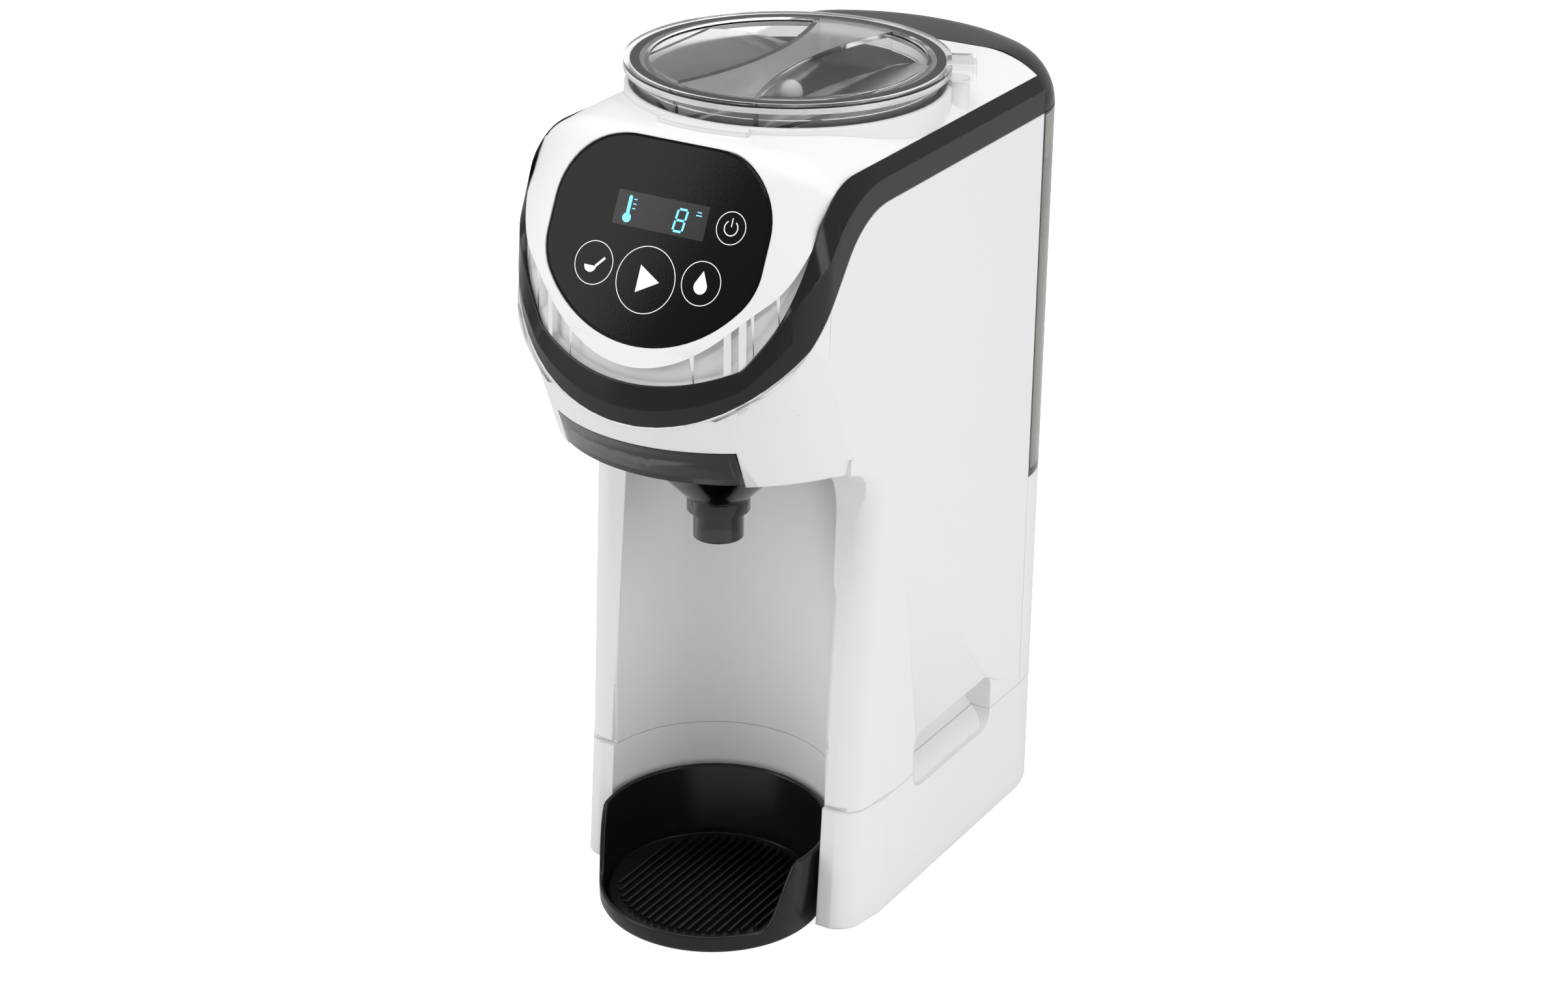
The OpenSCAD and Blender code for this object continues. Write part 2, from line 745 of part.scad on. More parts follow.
module funnel_drawer() color("#3c3d38c0") difference() {
    union() {
        intersection() {
            chin_round();
            translate([-drawer_half, front_y - 10, drawer_z])
                cube([2 * drawer_half, drawer_back - gap - front_y + 9, drawer_h]);
        }
        translate([0, spout_y, drawer_z - 27]) cylinder(r1 = spout_r + 3, r2 = cone_r, h = 27);
        translate([0, spout_y, drawer_z - 37]) cylinder(r = spout_r + 2.6, h = 10.5);
        translate([0, spout_y, drawer_z - 49]) cylinder(r = spout_r, h = 20);
    }
    // grooves for the rails' ribs, open at the back
    for (s = [0, 1]) mirror([s, 0, 0]) translate([drawer_half - 1.5, -96, rib_z - gap])
        cube([5, 90, rib_t + 2 * gap]);
    // inside of the drawer and funnel
    intersection() {
        chin_round(3);
        translate([-drawer_half + drawer_wall, front_y - 10, drawer_z + 2.5])
            cube([2 * (drawer_half - drawer_wall), drawer_back - gap - front_y + 6.5, drawer_h]);
    }
    translate([0, spout_y, drawer_z - 25.5]) cylinder(r1 = spout_r + 0.8, r2 = cone_r - 2, h = 28.2);
    translate([0, spout_y, drawer_z - 60]) cylinder(r = spout_r - 1.8, h = 60);
}

module funnel_cover() color("#55565080") difference() {
    intersection() {
        chin_round(3.6);
        translate([-drawer_half + drawer_wall, front_y, drawer_z + drawer_h - 4])
            cube([2 * (drawer_half - drawer_wall), drawer_back - front_y - 4, 2]);
    }
    translate([0, well_y - outlet_reach, 200]) cylinder(r = outlet_r + 2.5, h = 60);
    translate([0, nozzle_y, 200]) cylinder(r = 5, h = 60);
}

nozzle_y = -36.4;
nozzle_z = drive_plate_z + 1.5;

module water_nozzle() color("silver") translate([0, nozzle_y, 0]) difference() {
    union() {
        translate([0, 0, drawer_z + drawer_h + 0.6]) cylinder(r = 3.2, h = 6);
        translate([0, 0, nozzle_z]) rotate([0, 90, 0]) cylinder(r = 1.4, h = 10);
    }
    translate([0, 0, drawer_z + drawer_h]) cylinder(r = 1.5, h = 4);
}

// ---- drip tray ----

module tray_rim_cut() {
    side_prism(concat([[bay_y - 80, tray_low]],
        corner_arc([bay_y - 80, tray_low], [bay_y - 24, tray_low], [bay_y - 14, tray_top - 3], 8, 6),
        corner_arc([bay_y - 24, tray_low], [bay_y - 14, tray_top - 3], [bay_y + 80, tray_top], 10, 6),
        [[bay_y + 80, tray_top + 1], [bay_y + 80, 90], [bay_y - 80, 90]]), 130);
}

module drip_tray() color("#1c1c1c") difference() {
    translate([0, bay_y, 0]) cylinder(r1 = tray_r - 1.5, r2 = tray_r, h = tray_top + 8);
    translate([0, bay_y, 2]) cylinder(r1 = tray_r - 3.6, r2 = tray_r - 2.1, h = tray_top + 10);
    tray_rim_cut();
}

grille_r = tray_r - 5.6;
grille_z = 2.4;

module drip_grille() color("#161616") translate([0, bay_y, grille_z]) {
    count = floor(0.82 * grille_r / rib_pitch);
    difference() {
        cylinder(r = grille_r, h = 1.8);
        for (i = [-count:count - 1]) {
            x = (i + 0.5) * rib_pitch;
            reach = sqrt(pow(grille_r - 7, 2) - x * x);
            translate([x - 0.7, -reach, -1]) cube([1.4, 2 * reach, 5]);
        }
    }
    for (i = [-count:count]) {
        x = i * rib_pitch;
        reach = sqrt(pow(grille_r - 4, 2) - x * x);
        translate([x - 0.9, -reach, 1.7]) cube([1.8, 2 * reach, 2]);
    }
}

// ---- water tank ----

module tank_space(off, z0, z1) {
    intersection() {
        tall_plan(off, z0, z1);
        slab_y(tank_front + tank_gap + off, rear_y + 5);
    }
}

tank_floor = tank_low + tank_gap + tank_wall;
cage_z = tank_floor + 12;

module water_tank() color("#6a6c66a0") {
    difference() {
        union() {
            tank_space(0, tank_low + tank_gap, trim_low_z);
            // inner lip that centres the lid
            tank_space(tank_wall + 1.4, trim_low_z - 1, trim_low_z + 4);
            translate([seat_x, seat_y, tank_low - 4.6]) cylinder(r = 15, h = 6);
        }
        difference() {
            tank_space(tank_wall, tank_floor, 400);
            tank_space(tank_wall, 300, 400);
        }
        tank_space(2 * tank_wall, 290, 400);
        translate([seat_x, seat_y, tank_low - 10]) cylinder(r = valve_r + 0.5, h = 18);
    }
    // cage over the valve
    translate([seat_x, seat_y, 0]) for (s = [-1, 1])
        translate([s * 13 - 1.5, -3, tank_floor - 1]) cube([3, 6, cage_z + 3 - tank_floor]);
    translate([seat_x - 14.5, seat_y - 3, cage_z]) cube([29, 6, 2]);
}

module tank_lid() color("#0c0c0c") difference() {
    intersection() {
        tank_space(0, trim_low_z + 0.3, 400);
        translate([0, 200, deck_z]) rotate([90, 0, 0]) linear_extrude(400) lid_section(half, 29, 25);
        rear_round(0);
    }
    intersection() {
        tank_space(tank_wall - 0.4, trim_low_z - 1, deck_z - 2.6);
        rear_round(2);
        translate([0, 200, deck_z - 2.6]) rotate([90, 0, 0]) linear_extrude(400)
            lid_section(half - 1.6, 27, 24);
    }
}

// Section of the tank lid: flat top with round shoulders, top at y = 0
module lid_section(w, r, drop) {
    for (s = [-1, 1]) translate([s * (w - r), -r]) circle(r);
    translate([-w + r, -r]) square([2 * (w - r), r]);
    translate([-w, -60]) square([2 * w, 60 - r]);
}

// Round rear edge of the tank lid
module rear_round(off) {
    r = 25 - off;
    rotate([90, 0, 90]) linear_extrude(body_w + 10, center = true) {
        translate([rear_y - off - r, deck_z - off - r]) circle(r);
        translate([0, 200]) square([rear_y - off, deck_z - off - r - 200]);
        translate([0, 200]) square([rear_y - off - r, deck_z - off - 200]);
    }
}

module tank_seal() color("#303030") translate([seat_x, seat_y, tank_low - 2.5])
    rotate_extrude() translate([16.05, 0]) circle(r = 0.95, $fn = 24);

module tank_seat() color("gainsboro") translate([seat_x, seat_y, 0]) difference() {
    union() {
        translate([0, 0, tank_low - 9]) cylinder(r = 22, h = 4);
        // pin that lifts the valve
        translate([0, 0, tank_low - 6]) cylinder(r = 2, h = 2.6);
        translate([0, 0, tank_low - 24]) cylinder(r = 5, h = 16);
    }
    translate([0, 0, tank_low - 30]) cylinder(r = 2.5, h = 8);
    translate([3.2, 0, tank_low - 30]) cylinder(r = 1, h = 40);
}

valve_z = tank_floor + 0.3;

module tank_valve() color("white") translate([seat_x, seat_y, 0]) {
    translate([0, 0, tank_low - 3]) cylinder(r = 3, h = valve_z - tank_low + 5);
    translate([0, 0, valve_z]) cylinder(r = valve_r + 3, h = 2);
}

// Coils stand as rings tilted to and fro, each touching the next
module valve_spring() color("silver") translate([seat_x, seat_y, 0]) {
    coils = 5; wire = 0.5; r = 5;
    rise = (cage_z - 0.4 - valve_z - 2 - 2 * wire) / coils;
    lean = asin(rise / (2 * r));
    for (i = [0:coils - 1]) translate([0, 0, valve_z + 2 + wire + (i + 0.5) * rise])
        rotate([i % 2 == 0 ? lean : -lean, 0, 0]) rotate_extrude() translate([r, 0]) circle(wire, $fn = 16);
}

// ---- works in the base ----

pump_x = -36;
heater_x = 34;
works_y = 38;
works_z = base_z + plate_t;
hose_r = 2.5;

module water_pump() color("#404040") translate([pump_x, works_y, works_z]) {
    translate([-16, -20, 0]) cube([32, 40, 4]);
    translate([0, 20, 18]) rotate([90, 0, 0]) cylinder(r = 14.6, h = 30);
    translate([-14, -22, 4]) cube([28, 14, 30]);
    translate([0, 27, 18]) rotate([90, 0, 0]) cylinder(r = 3, h = 8);
    translate([0, -15, 33]) cylinder(r = 3, h = 8);
}

module heater_block() color("silver") translate([heater_x, works_y, works_z]) {
    translate([-16, -16, 0]) cube([32, 32, 4]);
    cylinder(r = 13, h = 74);
    for (i = [0:6]) translate([-16, -16, 10 + i * 9]) cube([32, 32, 2]);
    for (s = [-1, 1]) translate([s * 7, 0, 70]) cylinder(r = 3, h = 12);
}

// A hose along straight runs between points, with round elbows
module hose(points) {
    for (i = [0:len(points) - 2]) {
        run = points[i + 1] - points[i];
        turn = run[2] != 0 ? [run[2] < 0 ? 180 : 0, 0, 0] : run[1] != 0 ? [run[1] > 0 ? -90 : 90, 0, 0]
            : [0, run[0] > 0 ? 90 : -90, 0];
        translate(points[i]) rotate(turn) cylinder(r = hose_r, h = norm(run), $fn = 32);
        if (i > 0) translate(points[i]) sphere(r = hose_r, $fn = 32);
    }
}

module water_hoses() color("#e0e0e0") {
    tank_z = tank_low - 22;
    pump_in = works_z + 18;
    pump_out = works_z + 41;
    heater_out = works_z + 82;
    side_x = 57;
    // tank to pump
    hose([[seat_x, seat_y, tank_z], [seat_x, seat_y, pump_in], [pump_x, seat_y, pump_in],
        [pump_x, works_y + 27, pump_in]]);
    // pump to heater
    hose([[pump_x, works_y - 15, pump_out], [pump_x, works_y - 15, heater_out + 10],
        [heater_x - 7, works_y - 15, heater_out + 10], [heater_x - 7, works_y, heater_out + 10],
        [heater_x - 7, works_y, heater_out]]);
    // heater to nozzle
    hose([[heater_x + 7, works_y, heater_out], [heater_x + 7, works_y, heater_out + 14],
        [side_x, works_y, heater_out + 14], [side_x, works_y, nozzle_z - 12],
        [side_x, nozzle_y, nozzle_z - 12], [side_x, nozzle_y, nozzle_z - 0.2],
        [10, nozzle_y, nozzle_z - 0.2]]);
}

module power_board() color("darkgreen") {
    translate([-44, tank_front - wall - 8, 84]) cube([88, 1.6, 100]);
    for (s = [-1, 1], z = [90, 178]) translate([s * 38, tank_front - wall - 6.4, z])
        rotate([-90, 0, 0]) cylinder(r = 3, h = 6.4);
    translate([-36, tank_front - wall - 24, 92]) cube([26, 16, 30]);
    translate([10, tank_front - wall - 20, 96]) cube([16, 12, 22]);
    translate([18, tank_front - wall - 20, 140]) rotate([-90, 0, 0]) cylinder(r = 8, h = 12);
}

inlet_x = -34;

module inlet_block() {
    translate([inlet_x - 13, rear_y - 22, 18]) cube([26, 20, 18]);
}

module power_inlet() color("#202020") difference() {
    intersection() {
        inlet_block();
        tall_plan(1.2, 0, 100);
    }
    translate([inlet_x, rear_y + 5, 27]) rotate([90, 0, 0]) linear_extrude(22) {
        for (s = [-1, 1]) translate([s * 4, 0]) circle(4.4);
        translate([-4, -4.4]) square([8, 8.8]);
    }
}

base_plate();
rubber_feet();
base_screws();
base_shell();
body_shell();
rear_cover();
trim_band();
top_cover();
control_lens();
display_module();
control_board();
board_screws();
container_well();
shaft_bushes();
drive_plate();
gear_motor();
motor_pinion();
drive_gear();
drive_coupling();
powder_container();
container_floor();
strike_plate();
dosing_wheel();
stirrer();
container_lid();
lid_gasket();
funnel_rails();
funnel_drawer();
funnel_cover();
water_nozzle();
drip_tray();
drip_grille();
water_tank();
tank_lid();
tank_seal();
tank_seat();
tank_valve();
valve_spring();
water_pump();
heater_block();
water_hoses();
power_board();
power_inlet();
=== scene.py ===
"""A single-bottle baby formula maker, dressed and lit for its portrait."""
import json
import math
import bmesh
import bpy
from mathutils import Matrix, Vector


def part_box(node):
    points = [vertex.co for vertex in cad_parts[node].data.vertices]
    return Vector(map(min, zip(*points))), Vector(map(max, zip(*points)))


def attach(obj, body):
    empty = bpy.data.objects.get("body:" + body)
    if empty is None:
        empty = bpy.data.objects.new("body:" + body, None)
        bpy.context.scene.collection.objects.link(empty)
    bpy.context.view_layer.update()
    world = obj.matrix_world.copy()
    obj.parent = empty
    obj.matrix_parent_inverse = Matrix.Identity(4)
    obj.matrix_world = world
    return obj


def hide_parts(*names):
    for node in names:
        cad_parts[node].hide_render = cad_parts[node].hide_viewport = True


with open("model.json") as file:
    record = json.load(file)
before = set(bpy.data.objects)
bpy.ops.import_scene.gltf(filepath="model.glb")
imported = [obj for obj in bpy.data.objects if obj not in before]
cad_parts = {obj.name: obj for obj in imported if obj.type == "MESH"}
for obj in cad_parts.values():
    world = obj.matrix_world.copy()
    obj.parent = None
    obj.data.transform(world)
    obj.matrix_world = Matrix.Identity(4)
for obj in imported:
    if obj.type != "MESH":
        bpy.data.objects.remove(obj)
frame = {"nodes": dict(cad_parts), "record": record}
nodes = frame["nodes"]
bodies = frame["record"]["behaviour"]["bodies"]
body_with = {node: body for body, held in bodies.items() for node in held}
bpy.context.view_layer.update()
scene = bpy.context.scene
scene.view_settings.view_transform = "Standard"

# ---------------------------------------------------------------- finishes


class Val:
    """A shader socket that can be used in a Python sum."""

    def __init__(self, look, socket):
        self.look = look
        self.socket = socket

    def _math(self, operation, first, second):
        return self.look.node("ShaderNodeMath", {"operation": operation}, {0: first, 1: second})

    def __add__(self, other):
        return self._math("ADD", self, other)

    def __radd__(self, other):
        return self._math("ADD", other, self)

    def __mul__(self, other):
        return self._math("MULTIPLY", self, other)

    def __rmul__(self, other):
        return self._math("MULTIPLY", other, self)

    def __lt__(self, other):
        return self._math("LESS_THAN", self, other)

    def clip(self):
        """The value kept between 0 and 1."""
        return self.look.node("ShaderNodeClamp", {}, {"Value": self})


class Look:
    """One material, or the world, made from nodes."""

    def __init__(self, name, store=bpy.data.materials, output="ShaderNodeOutputMaterial"):
        self.made = store.new(name)
        self.made.use_nodes = True
        self.tree = self.made.node_tree
        self.tree.nodes.clear()
        self.out = self.tree.nodes.new(output)

    def node(self, kind, settings, inputs, out=0):
        """A node with its settings, then its inputs: each a value, a colour or a Val."""
        made = self.tree.nodes.new(kind)
        for key, value in settings.items():
            setattr(made, key, value)
        for key, value in inputs.items():
            socket = made.inputs[key]
            if isinstance(value, Val):
                self.tree.links.new(value.socket, socket)
            elif socket.type == "RGBA":
                socket.default_value = (*value, 1)
            else:
                socket.default_value = value
        return Val(self, made.outputs[out])

    def place(self):
        """Place in the object's own space, in metres."""
        return self.node("ShaderNodeTexCoord", {}, {}, "Object")

    def noise(self, scale, detail=2.0, rough=0.5, at=None):
        """Soft noise; a larger scale is finer."""
        inputs = {"Vector": at or self.place(), "Scale": scale, "Detail": detail, "Roughness": rough}
        return self.node("ShaderNodeTexNoise", {}, inputs, "Fac")

    def mix(self, share, first, second):
        """Colour that goes from first to second as share goes from 0 to 1."""
        return self.node("ShaderNodeMix", {"data_type": "RGBA"}, {0: share, 6: first, 7: second}, 2)

    def soft_edge(self, radius):
        """Shading normal that rounds the edges."""
        return self.node("ShaderNodeBevel", {"samples": 4}, {"Radius": radius}, "Normal")

    def bump(self, height, strength, distance, normal=None):
        """Shading normal with a relief in it."""
        inputs = {"Height": height, "Strength": strength, "Distance": distance}
        if normal:
            inputs["Normal"] = normal
        return self.node("ShaderNodeBump", {}, inputs, "Normal")

    def show(self, shader):
        """Sets what is seen, and gives back the finished material or world."""
        self.tree.links.new(shader.socket, self.out.inputs["Surface"])
        return self.made

    def surface(self, **sockets):
        """Plain surface from the main shader's inputs."""
        inputs = {key.replace("_", " "): value for key, value in sockets.items()}
        return self.show(self.node("ShaderNodeBsdfPrincipled", {}, inputs))


def shade(colour, share):
    """A colour made darker or lighter."""
    return tuple(min(1.0, c * share) for c in colour)


def white_moulding(name):
    """Satin white plastic with a fine moulded grain."""
    look = Look(name)
    cloud = look.noise(9.0, detail=3.0)
    grain = look.noise(2600.0, rough=0.6)
    tone = look.mix(cloud * 0.6 + grain * 0.25, (0.79, 0.79, 0.79), (0.83, 0.83, 0.832))
    relief = look.bump(grain, strength=0.10, distance=0.0004, normal=look.soft_edge(0.0011))
    return look.surface(Base_Color=tone, Roughness=0.34 + grain * 0.12, Normal=relief, IOR=1.47,
                        Coat_Weight=0.12, Coat_Roughness=0.25)


def black_moulding(name, edge, base, rough, ior=1.4):
    """Polished black plastic with a trace of dust."""
    look = Look(name)
    cloud = look.noise(14.0, detail=3.0)
    dust = look.noise(1500.0)
    tone = look.mix(cloud, (base * 0.8,) * 3, (base * 1.25, base * 1.25, base * 1.3))
    relief = look.bump(dust, strength=0.03, distance=0.0003, normal=look.soft_edge(edge))
    return look.surface(Base_Color=tone, Roughness=rough + cloud * 0.05 + dust * 0.04,
                        Normal=relief, IOR=ior)


def clear_moulding(name, tint, rough):
    """See-through plastic with faint flow lines."""
    look = Look(name)
    cloud = look.noise(22.0)
    flow = look.noise(180.0)
    tone = look.mix(cloud, shade(tint, 0.985), tint)
    relief = look.bump(flow, strength=0.04, distance=0.0004)
    return look.surface(Base_Color=tone, Roughness=rough + cloud * 0.03, Normal=relief,
                        Transmission_Weight=1.0, IOR=1.47)


def plain_moulding(name, colour, rough=0.45, edge=0.0005):
    """Matt moulded plastic of the inner parts."""
    look = Look(name)
    cloud = look.noise(30.0)
    grain = look.noise(1800.0)
    tone = look.mix(cloud, shade(colour, 0.92), shade(colour, 1.06))
    relief = look.bump(grain, strength=0.08, distance=0.0003, normal=look.soft_edge(edge))
    return look.surface(Base_Color=tone, Roughness=rough + grain * 0.1, Normal=relief)


def metal(name, colour, rough=0.3):
    """Metal with brush marks that run upright."""
    look = Look(name)
    stretched = look.node("ShaderNodeMapping", {}, {"Vector": look.place(), "Scale": (1.0, 1.0, 0.06)})
    brush = look.noise(900.0, detail=3.0, rough=0.6, at=stretched)
    cloud = look.noise(25.0)
    tone = look.mix(cloud * 0.7 + brush * 0.3, shade(colour, 0.88), shade(colour, 1.08))
    relief = look.bump(brush, strength=0.05, distance=0.0002, normal=look.soft_edge(0.0003))
    return look.surface(Base_Color=tone, Roughness=rough + brush * 0.12, Metallic=1.0, Normal=relief)


def circuit_board(name):
    """Green board with paler tracks."""
    look = Look(name)
    cells = look.node("ShaderNodeTexVoronoi", {"feature": "DISTANCE_TO_EDGE"},
                      {"Vector": look.place(), "Scale": 260.0, "Randomness": 0.55}, "Distance")
    tracks = cells < 0.10
    tone = look.mix(tracks, (0.015, 0.11, 0.05), (0.04, 0.22, 0.10))
    relief = look.bump(tracks, strength=0.2, distance=0.0001)
    return look.surface(Base_Color=tone, Roughness=0.4 + tracks * 0.1, Normal=relief)


def soft_rubber(name, colour, rough=0.6):
    """Rubber or silicone."""
    look = Look(name)
    grain = look.noise(1400.0, detail=3.0)
    cloud = look.noise(40.0)
    tone = look.mix(cloud, shade(colour, 0.85), shade(colour, 1.1))
    relief = look.bump(grain, strength=0.15, distance=0.0003)
    return look.surface(Base_Color=tone, Roughness=rough + grain * 0.15, Normal=relief)


def glowing(name, colour, strength):
    """Print or display lit from behind."""
    look = Look(name)
    cloud = look.noise(60.0)
    tone = look.mix(cloud, shade(colour, 0.94), colour)
    return look.surface(Base_Color=tone, Roughness=0.3 + cloud * 0.1, Emission_Color=tone,
                        Emission_Strength=strength)


# ---------------------------------------------------------------- finishes by slot

white_shell = white_moulding("white_shell")
black_gloss = black_moulding("black_gloss", edge=0.0006, base=0.008, rough=0.14)
black_tray = black_moulding("black_tray", edge=0.0004, base=0.006, rough=0.2)
lens_black = black_moulding("lens_black", edge=0.0002, base=0.002, rough=0.04, ior=1.25)
lens_rim = plain_moulding("lens_rim", (0.42, 0.43, 0.43), rough=0.25, edge=0.0001)
pale_print = glowing("pale_print", (0.75, 0.76, 0.76), strength=0.35)
display_blue = glowing("display_blue", (0.16, 0.62, 1.0), strength=0.9)
display_ground = black_moulding("display_ground", edge=0.0001, base=0.012, rough=0.1)
smoke_funnel = clear_moulding("smoke_funnel", (0.045, 0.047, 0.038), rough=0.10)

slot_looks = {
    "white_shell": white_shell,
    "black_gloss": black_gloss,
    "lens_black": lens_black,
    "display_glass": black_moulding("display_glass", edge=0.0003, base=0.01, rough=0.05),
    "board_green": circuit_board("board_green"),
    "steel": metal("steel", (0.56, 0.57, 0.58)),
    "motor_steel": metal("motor_steel", (0.30, 0.30, 0.31), rough=0.4),
    "bronze": metal("bronze", (0.60, 0.42, 0.20), rough=0.35),
    "aluminium_block": metal("aluminium_block", (0.72, 0.73, 0.74), rough=0.4),
    "well_plastic": plain_moulding("well_plastic", (0.62, 0.62, 0.60)),
    "grey_plastic": plain_moulding("grey_plastic", (0.40, 0.40, 0.41)),
    "white_parts": plain_moulding("white_parts", (0.80, 0.80, 0.79), rough=0.4),
    "gear_plastic": plain_moulding("gear_plastic", (0.78, 0.74, 0.62), rough=0.4),
    "clear_plastic": clear_moulding("clear_plastic", (0.93, 0.935, 0.935), rough=0.10),
    "gasket": soft_rubber("gasket", (0.78, 0.78, 0.76), rough=0.5),
    "rubber": soft_rubber("rubber", (0.04, 0.04, 0.042)),
    "smoke_funnel": smoke_funnel,
    "smoke_tank": clear_moulding("smoke_tank", (0.26, 0.265, 0.235), rough=0.14),
    "pump_plastic": plain_moulding("pump_plastic", (0.07, 0.07, 0.075), rough=0.5),
    "hose": soft_rubber("hose", (0.74, 0.74, 0.71), rough=0.35),
    "inlet_plastic": plain_moulding("inlet_plastic", (0.025, 0.025, 0.026)),
}
for part in frame["record"]["subparts"]:
    node_mesh = nodes[part["node"]].data
    node_mesh.materials.clear()
    node_mesh.materials.append(slot_looks[part["material_slot"]])

# ---------------------------------------------------------------- sizes, in millimetres

X, Y, Z = range(3)
LOW, HIGH = range(2)
MM = 0.001


def edge_of(node, axis, end):
    """Lowest or highest place of a CAD node along an axis."""
    return round(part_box(node)[end][axis] / MM, 1)


def middle_of(node, axis):
    """Middle of a CAD node along an axis."""
    return round((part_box(node)[LOW][axis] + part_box(node)[HIGH][axis]) / 2 / MM, 1)


HALF = edge_of("trim_band", X, HIGH)
FRONT_Y = edge_of("trim_band", Y, LOW)
REAR_Y = edge_of("water_tank", Y, HIGH)
TANK_FRONT = edge_of("trim_band", Y, HIGH)
TANK_GAP = 0.4
DECK_Z = edge_of("tank_lid", Z, HIGH)
BAND_W = HALF - edge_of("top_cover", X, HIGH)
BAND_TOP = edge_of("trim_band", Z, HIGH)
BAND_LOW = edge_of("body_shell", Z, HIGH)
BAND_FOOT = edge_of("trim_band", Z, LOW)
BAY_Y = middle_of("drip_grille", Y)
BAY_TOP = 217.0
SPOUT_Y = BAY_Y + 4.0
WELL_Y = middle_of("container_well", Y)
CONTAINER_GAP = 1.5
COLLAR_WALL = 2.0
COLLAR_RISE = 2.5
HOLE_R = edge_of("powder_container", X, HIGH) + CONTAINER_GAP
COLLAR_R = HOLE_R + COLLAR_WALL
COLLAR_TOP = DECK_Z + COLLAR_RISE

# the middle of the display, on the sloping face
FACE_Y = -103.35
FACE_Z = 319.4
FACE_TILT = math.radians(25.65)

# the plan's rounded ends: radius of the corners, and how far the rounding reaches along the machine
FRONT_CORNER = 30.0
FRONT_REACH = 42.0
REAR_CORNER = 42.0
REAR_REACH = 50.0

# the front edge of the legs: where it starts, and how far it leans back for each millimetre up
LEG_FOOT_Y = BAY_Y - 1.4
LEG_LEAN = 13.9 / 185
BAY_CORNER = 30.0

# heights that lie clear of the head on both sides, for cutting solids
UNDER_HEAD = 150.0
OVER_HEAD = 400.0

# ---------------------------------------------------------------- shaping helpers


def arc(cx, cy, r, start, stop, steps):
    """Points of an arc from start to stop, both in degrees."""
    turn = [math.radians(start + (stop - start) * i / steps) for i in range(steps + 1)]
    return [(cx + r * math.cos(t), cy + r * math.sin(t)) for t in turn]


def circle(cx, cy, r, steps):
    """Points of a whole circle."""
    return arc(cx, cy, r, 0, 360, steps)[:-1]


def corner_arc(a, b, c, r, steps=12):
    """Points that round the corner b of the path a, b, c."""
    towards_a = (Vector(a) - Vector(b)).normalized()
    towards_c = (Vector(c) - Vector(b)).normalized()
    half_angle = towards_a.angle(towards_c) / 2
    centre = Vector(b) + (towards_a + towards_c).normalized() * (r / math.sin(half_angle))
    reach = r / math.tan(half_angle)
    first = Vector(b) + towards_a * reach - centre
    sweep = first.angle_signed(Vector(b) + towards_c * reach - centre)
    points = []
    for i in range(steps + 1):
        t = -sweep * i / steps
        points.append((centre.x + first.x * math.cos(t) - first.y * math.sin(t),
                       centre.y + first.x * math.sin(t) + first.y * math.cos(t)))
    return points


def height_at(path, y):
    """Height of a path of (y, z) points at y."""
    for (y0, z0), (y1, z1) in zip(path, path[1:]):
        if y <= y1:
            return z0 + (z1 - z0) * (y - y0) / (y1 - y0)
    return path[-1][1]


def smooth(t):
    """Soft step from 0 to 1."""
    t = min(1.0, max(0.0, t))
    return t * t * (3 - 2 * t)


def nose_radius(shoulder_x, r, reach):
    """Radius of the arc that joins two corners of radius r, one each side at shoulder_x."""
    return (reach * reach + shoulder_x * shoulder_x - r * r) / (2 * (reach - r))


def half_outline(shoulder_x, shoulder_y, r, reach, way, off, steps):
    """Right half of a rounded end as (x, y) points, from the side to the middle."""
    nose_r = nose_radius(shoulder_x, r, reach)
    centre_y = shoulder_y + way * (reach - nose_r)
    lean = math.degrees(math.atan2(shoulder_x, nose_r - reach))
    side = arc(shoulder_x, shoulder_y, r - off, 0, way * (90 - lean), steps)
    nose = arc(0, centre_y, nose_r - off, way * (90 - lean), way * 90, steps)
    return side + nose[1:]


def mirrored(right):
    """A right half that ends on the middle line, and its left half."""
    return right + [(-x, y) for x, y in reversed(right[:-1])]


def front_half(off, steps=20):
    """Right half of the round front, drawn in by off."""
    shoulder_x = HALF - FRONT_CORNER
    shoulder_y = FRONT_Y + FRONT_REACH
    return half_outline(shoulder_x, shoulder_y, FRONT_CORNER, FRONT_REACH, -1, off, steps)


def front_outline(off=0.0, start_y=TANK_FRONT):
    """The round front, drawn in by off, from one side's start_y to the other's."""
    return mirrored([(HALF - off, start_y)] + front_half(off))


def rear_outline(off, start_y=TANK_FRONT + TANK_GAP):
    """The round rear, drawn in by off, from one side's start_y to the other's."""
    shoulder_x = HALF - REAR_CORNER
    shoulder_y = REAR_Y - REAR_REACH
    right = half_outline(shoulder_x, shoulder_y, REAR_CORNER, REAR_REACH, 1, off, 16)
    return mirrored([(HALF - off, start_y)] + right)


def on_face(a, b, c):
    """A point of the sloping face: a across, b up the slope, c out of it."""
    return Vector((a, FACE_Y + b * math.sin(FACE_TILT) - c * math.cos(FACE_TILT),
                   FACE_Z + b * math.cos(FACE_TILT) + c * math.sin(FACE_TILT)))


def loft(bm, loops, cap_start=True, cap_end=True, slot=0):
    """Skin through closed loops of equally many points."""
    rows = [[bm.verts.new(point) for point in loop] for loop in loops]
    count = len(rows[0])
    for low, high in zip(rows, rows[1:]):
        for i in range(count):
            j = (i + 1) % count
            bm.faces.new((low[i], low[j], high[j], high[i])).material_index = slot
    if cap_start:
        bm.faces.new(rows[0]).material_index = slot
    if cap_end:
        bm.faces.new(rows[-1]).material_index = slot


def lofted(loops):
    """Solid through loops."""
    bm = bmesh.new()
    loft(bm, loops)
    return bm


def prism(outline, z0, z1):
    """Upright solid on a plan."""
    return lofted([[(x, y, z) for x, y in outline] for z in (z0, z1)])


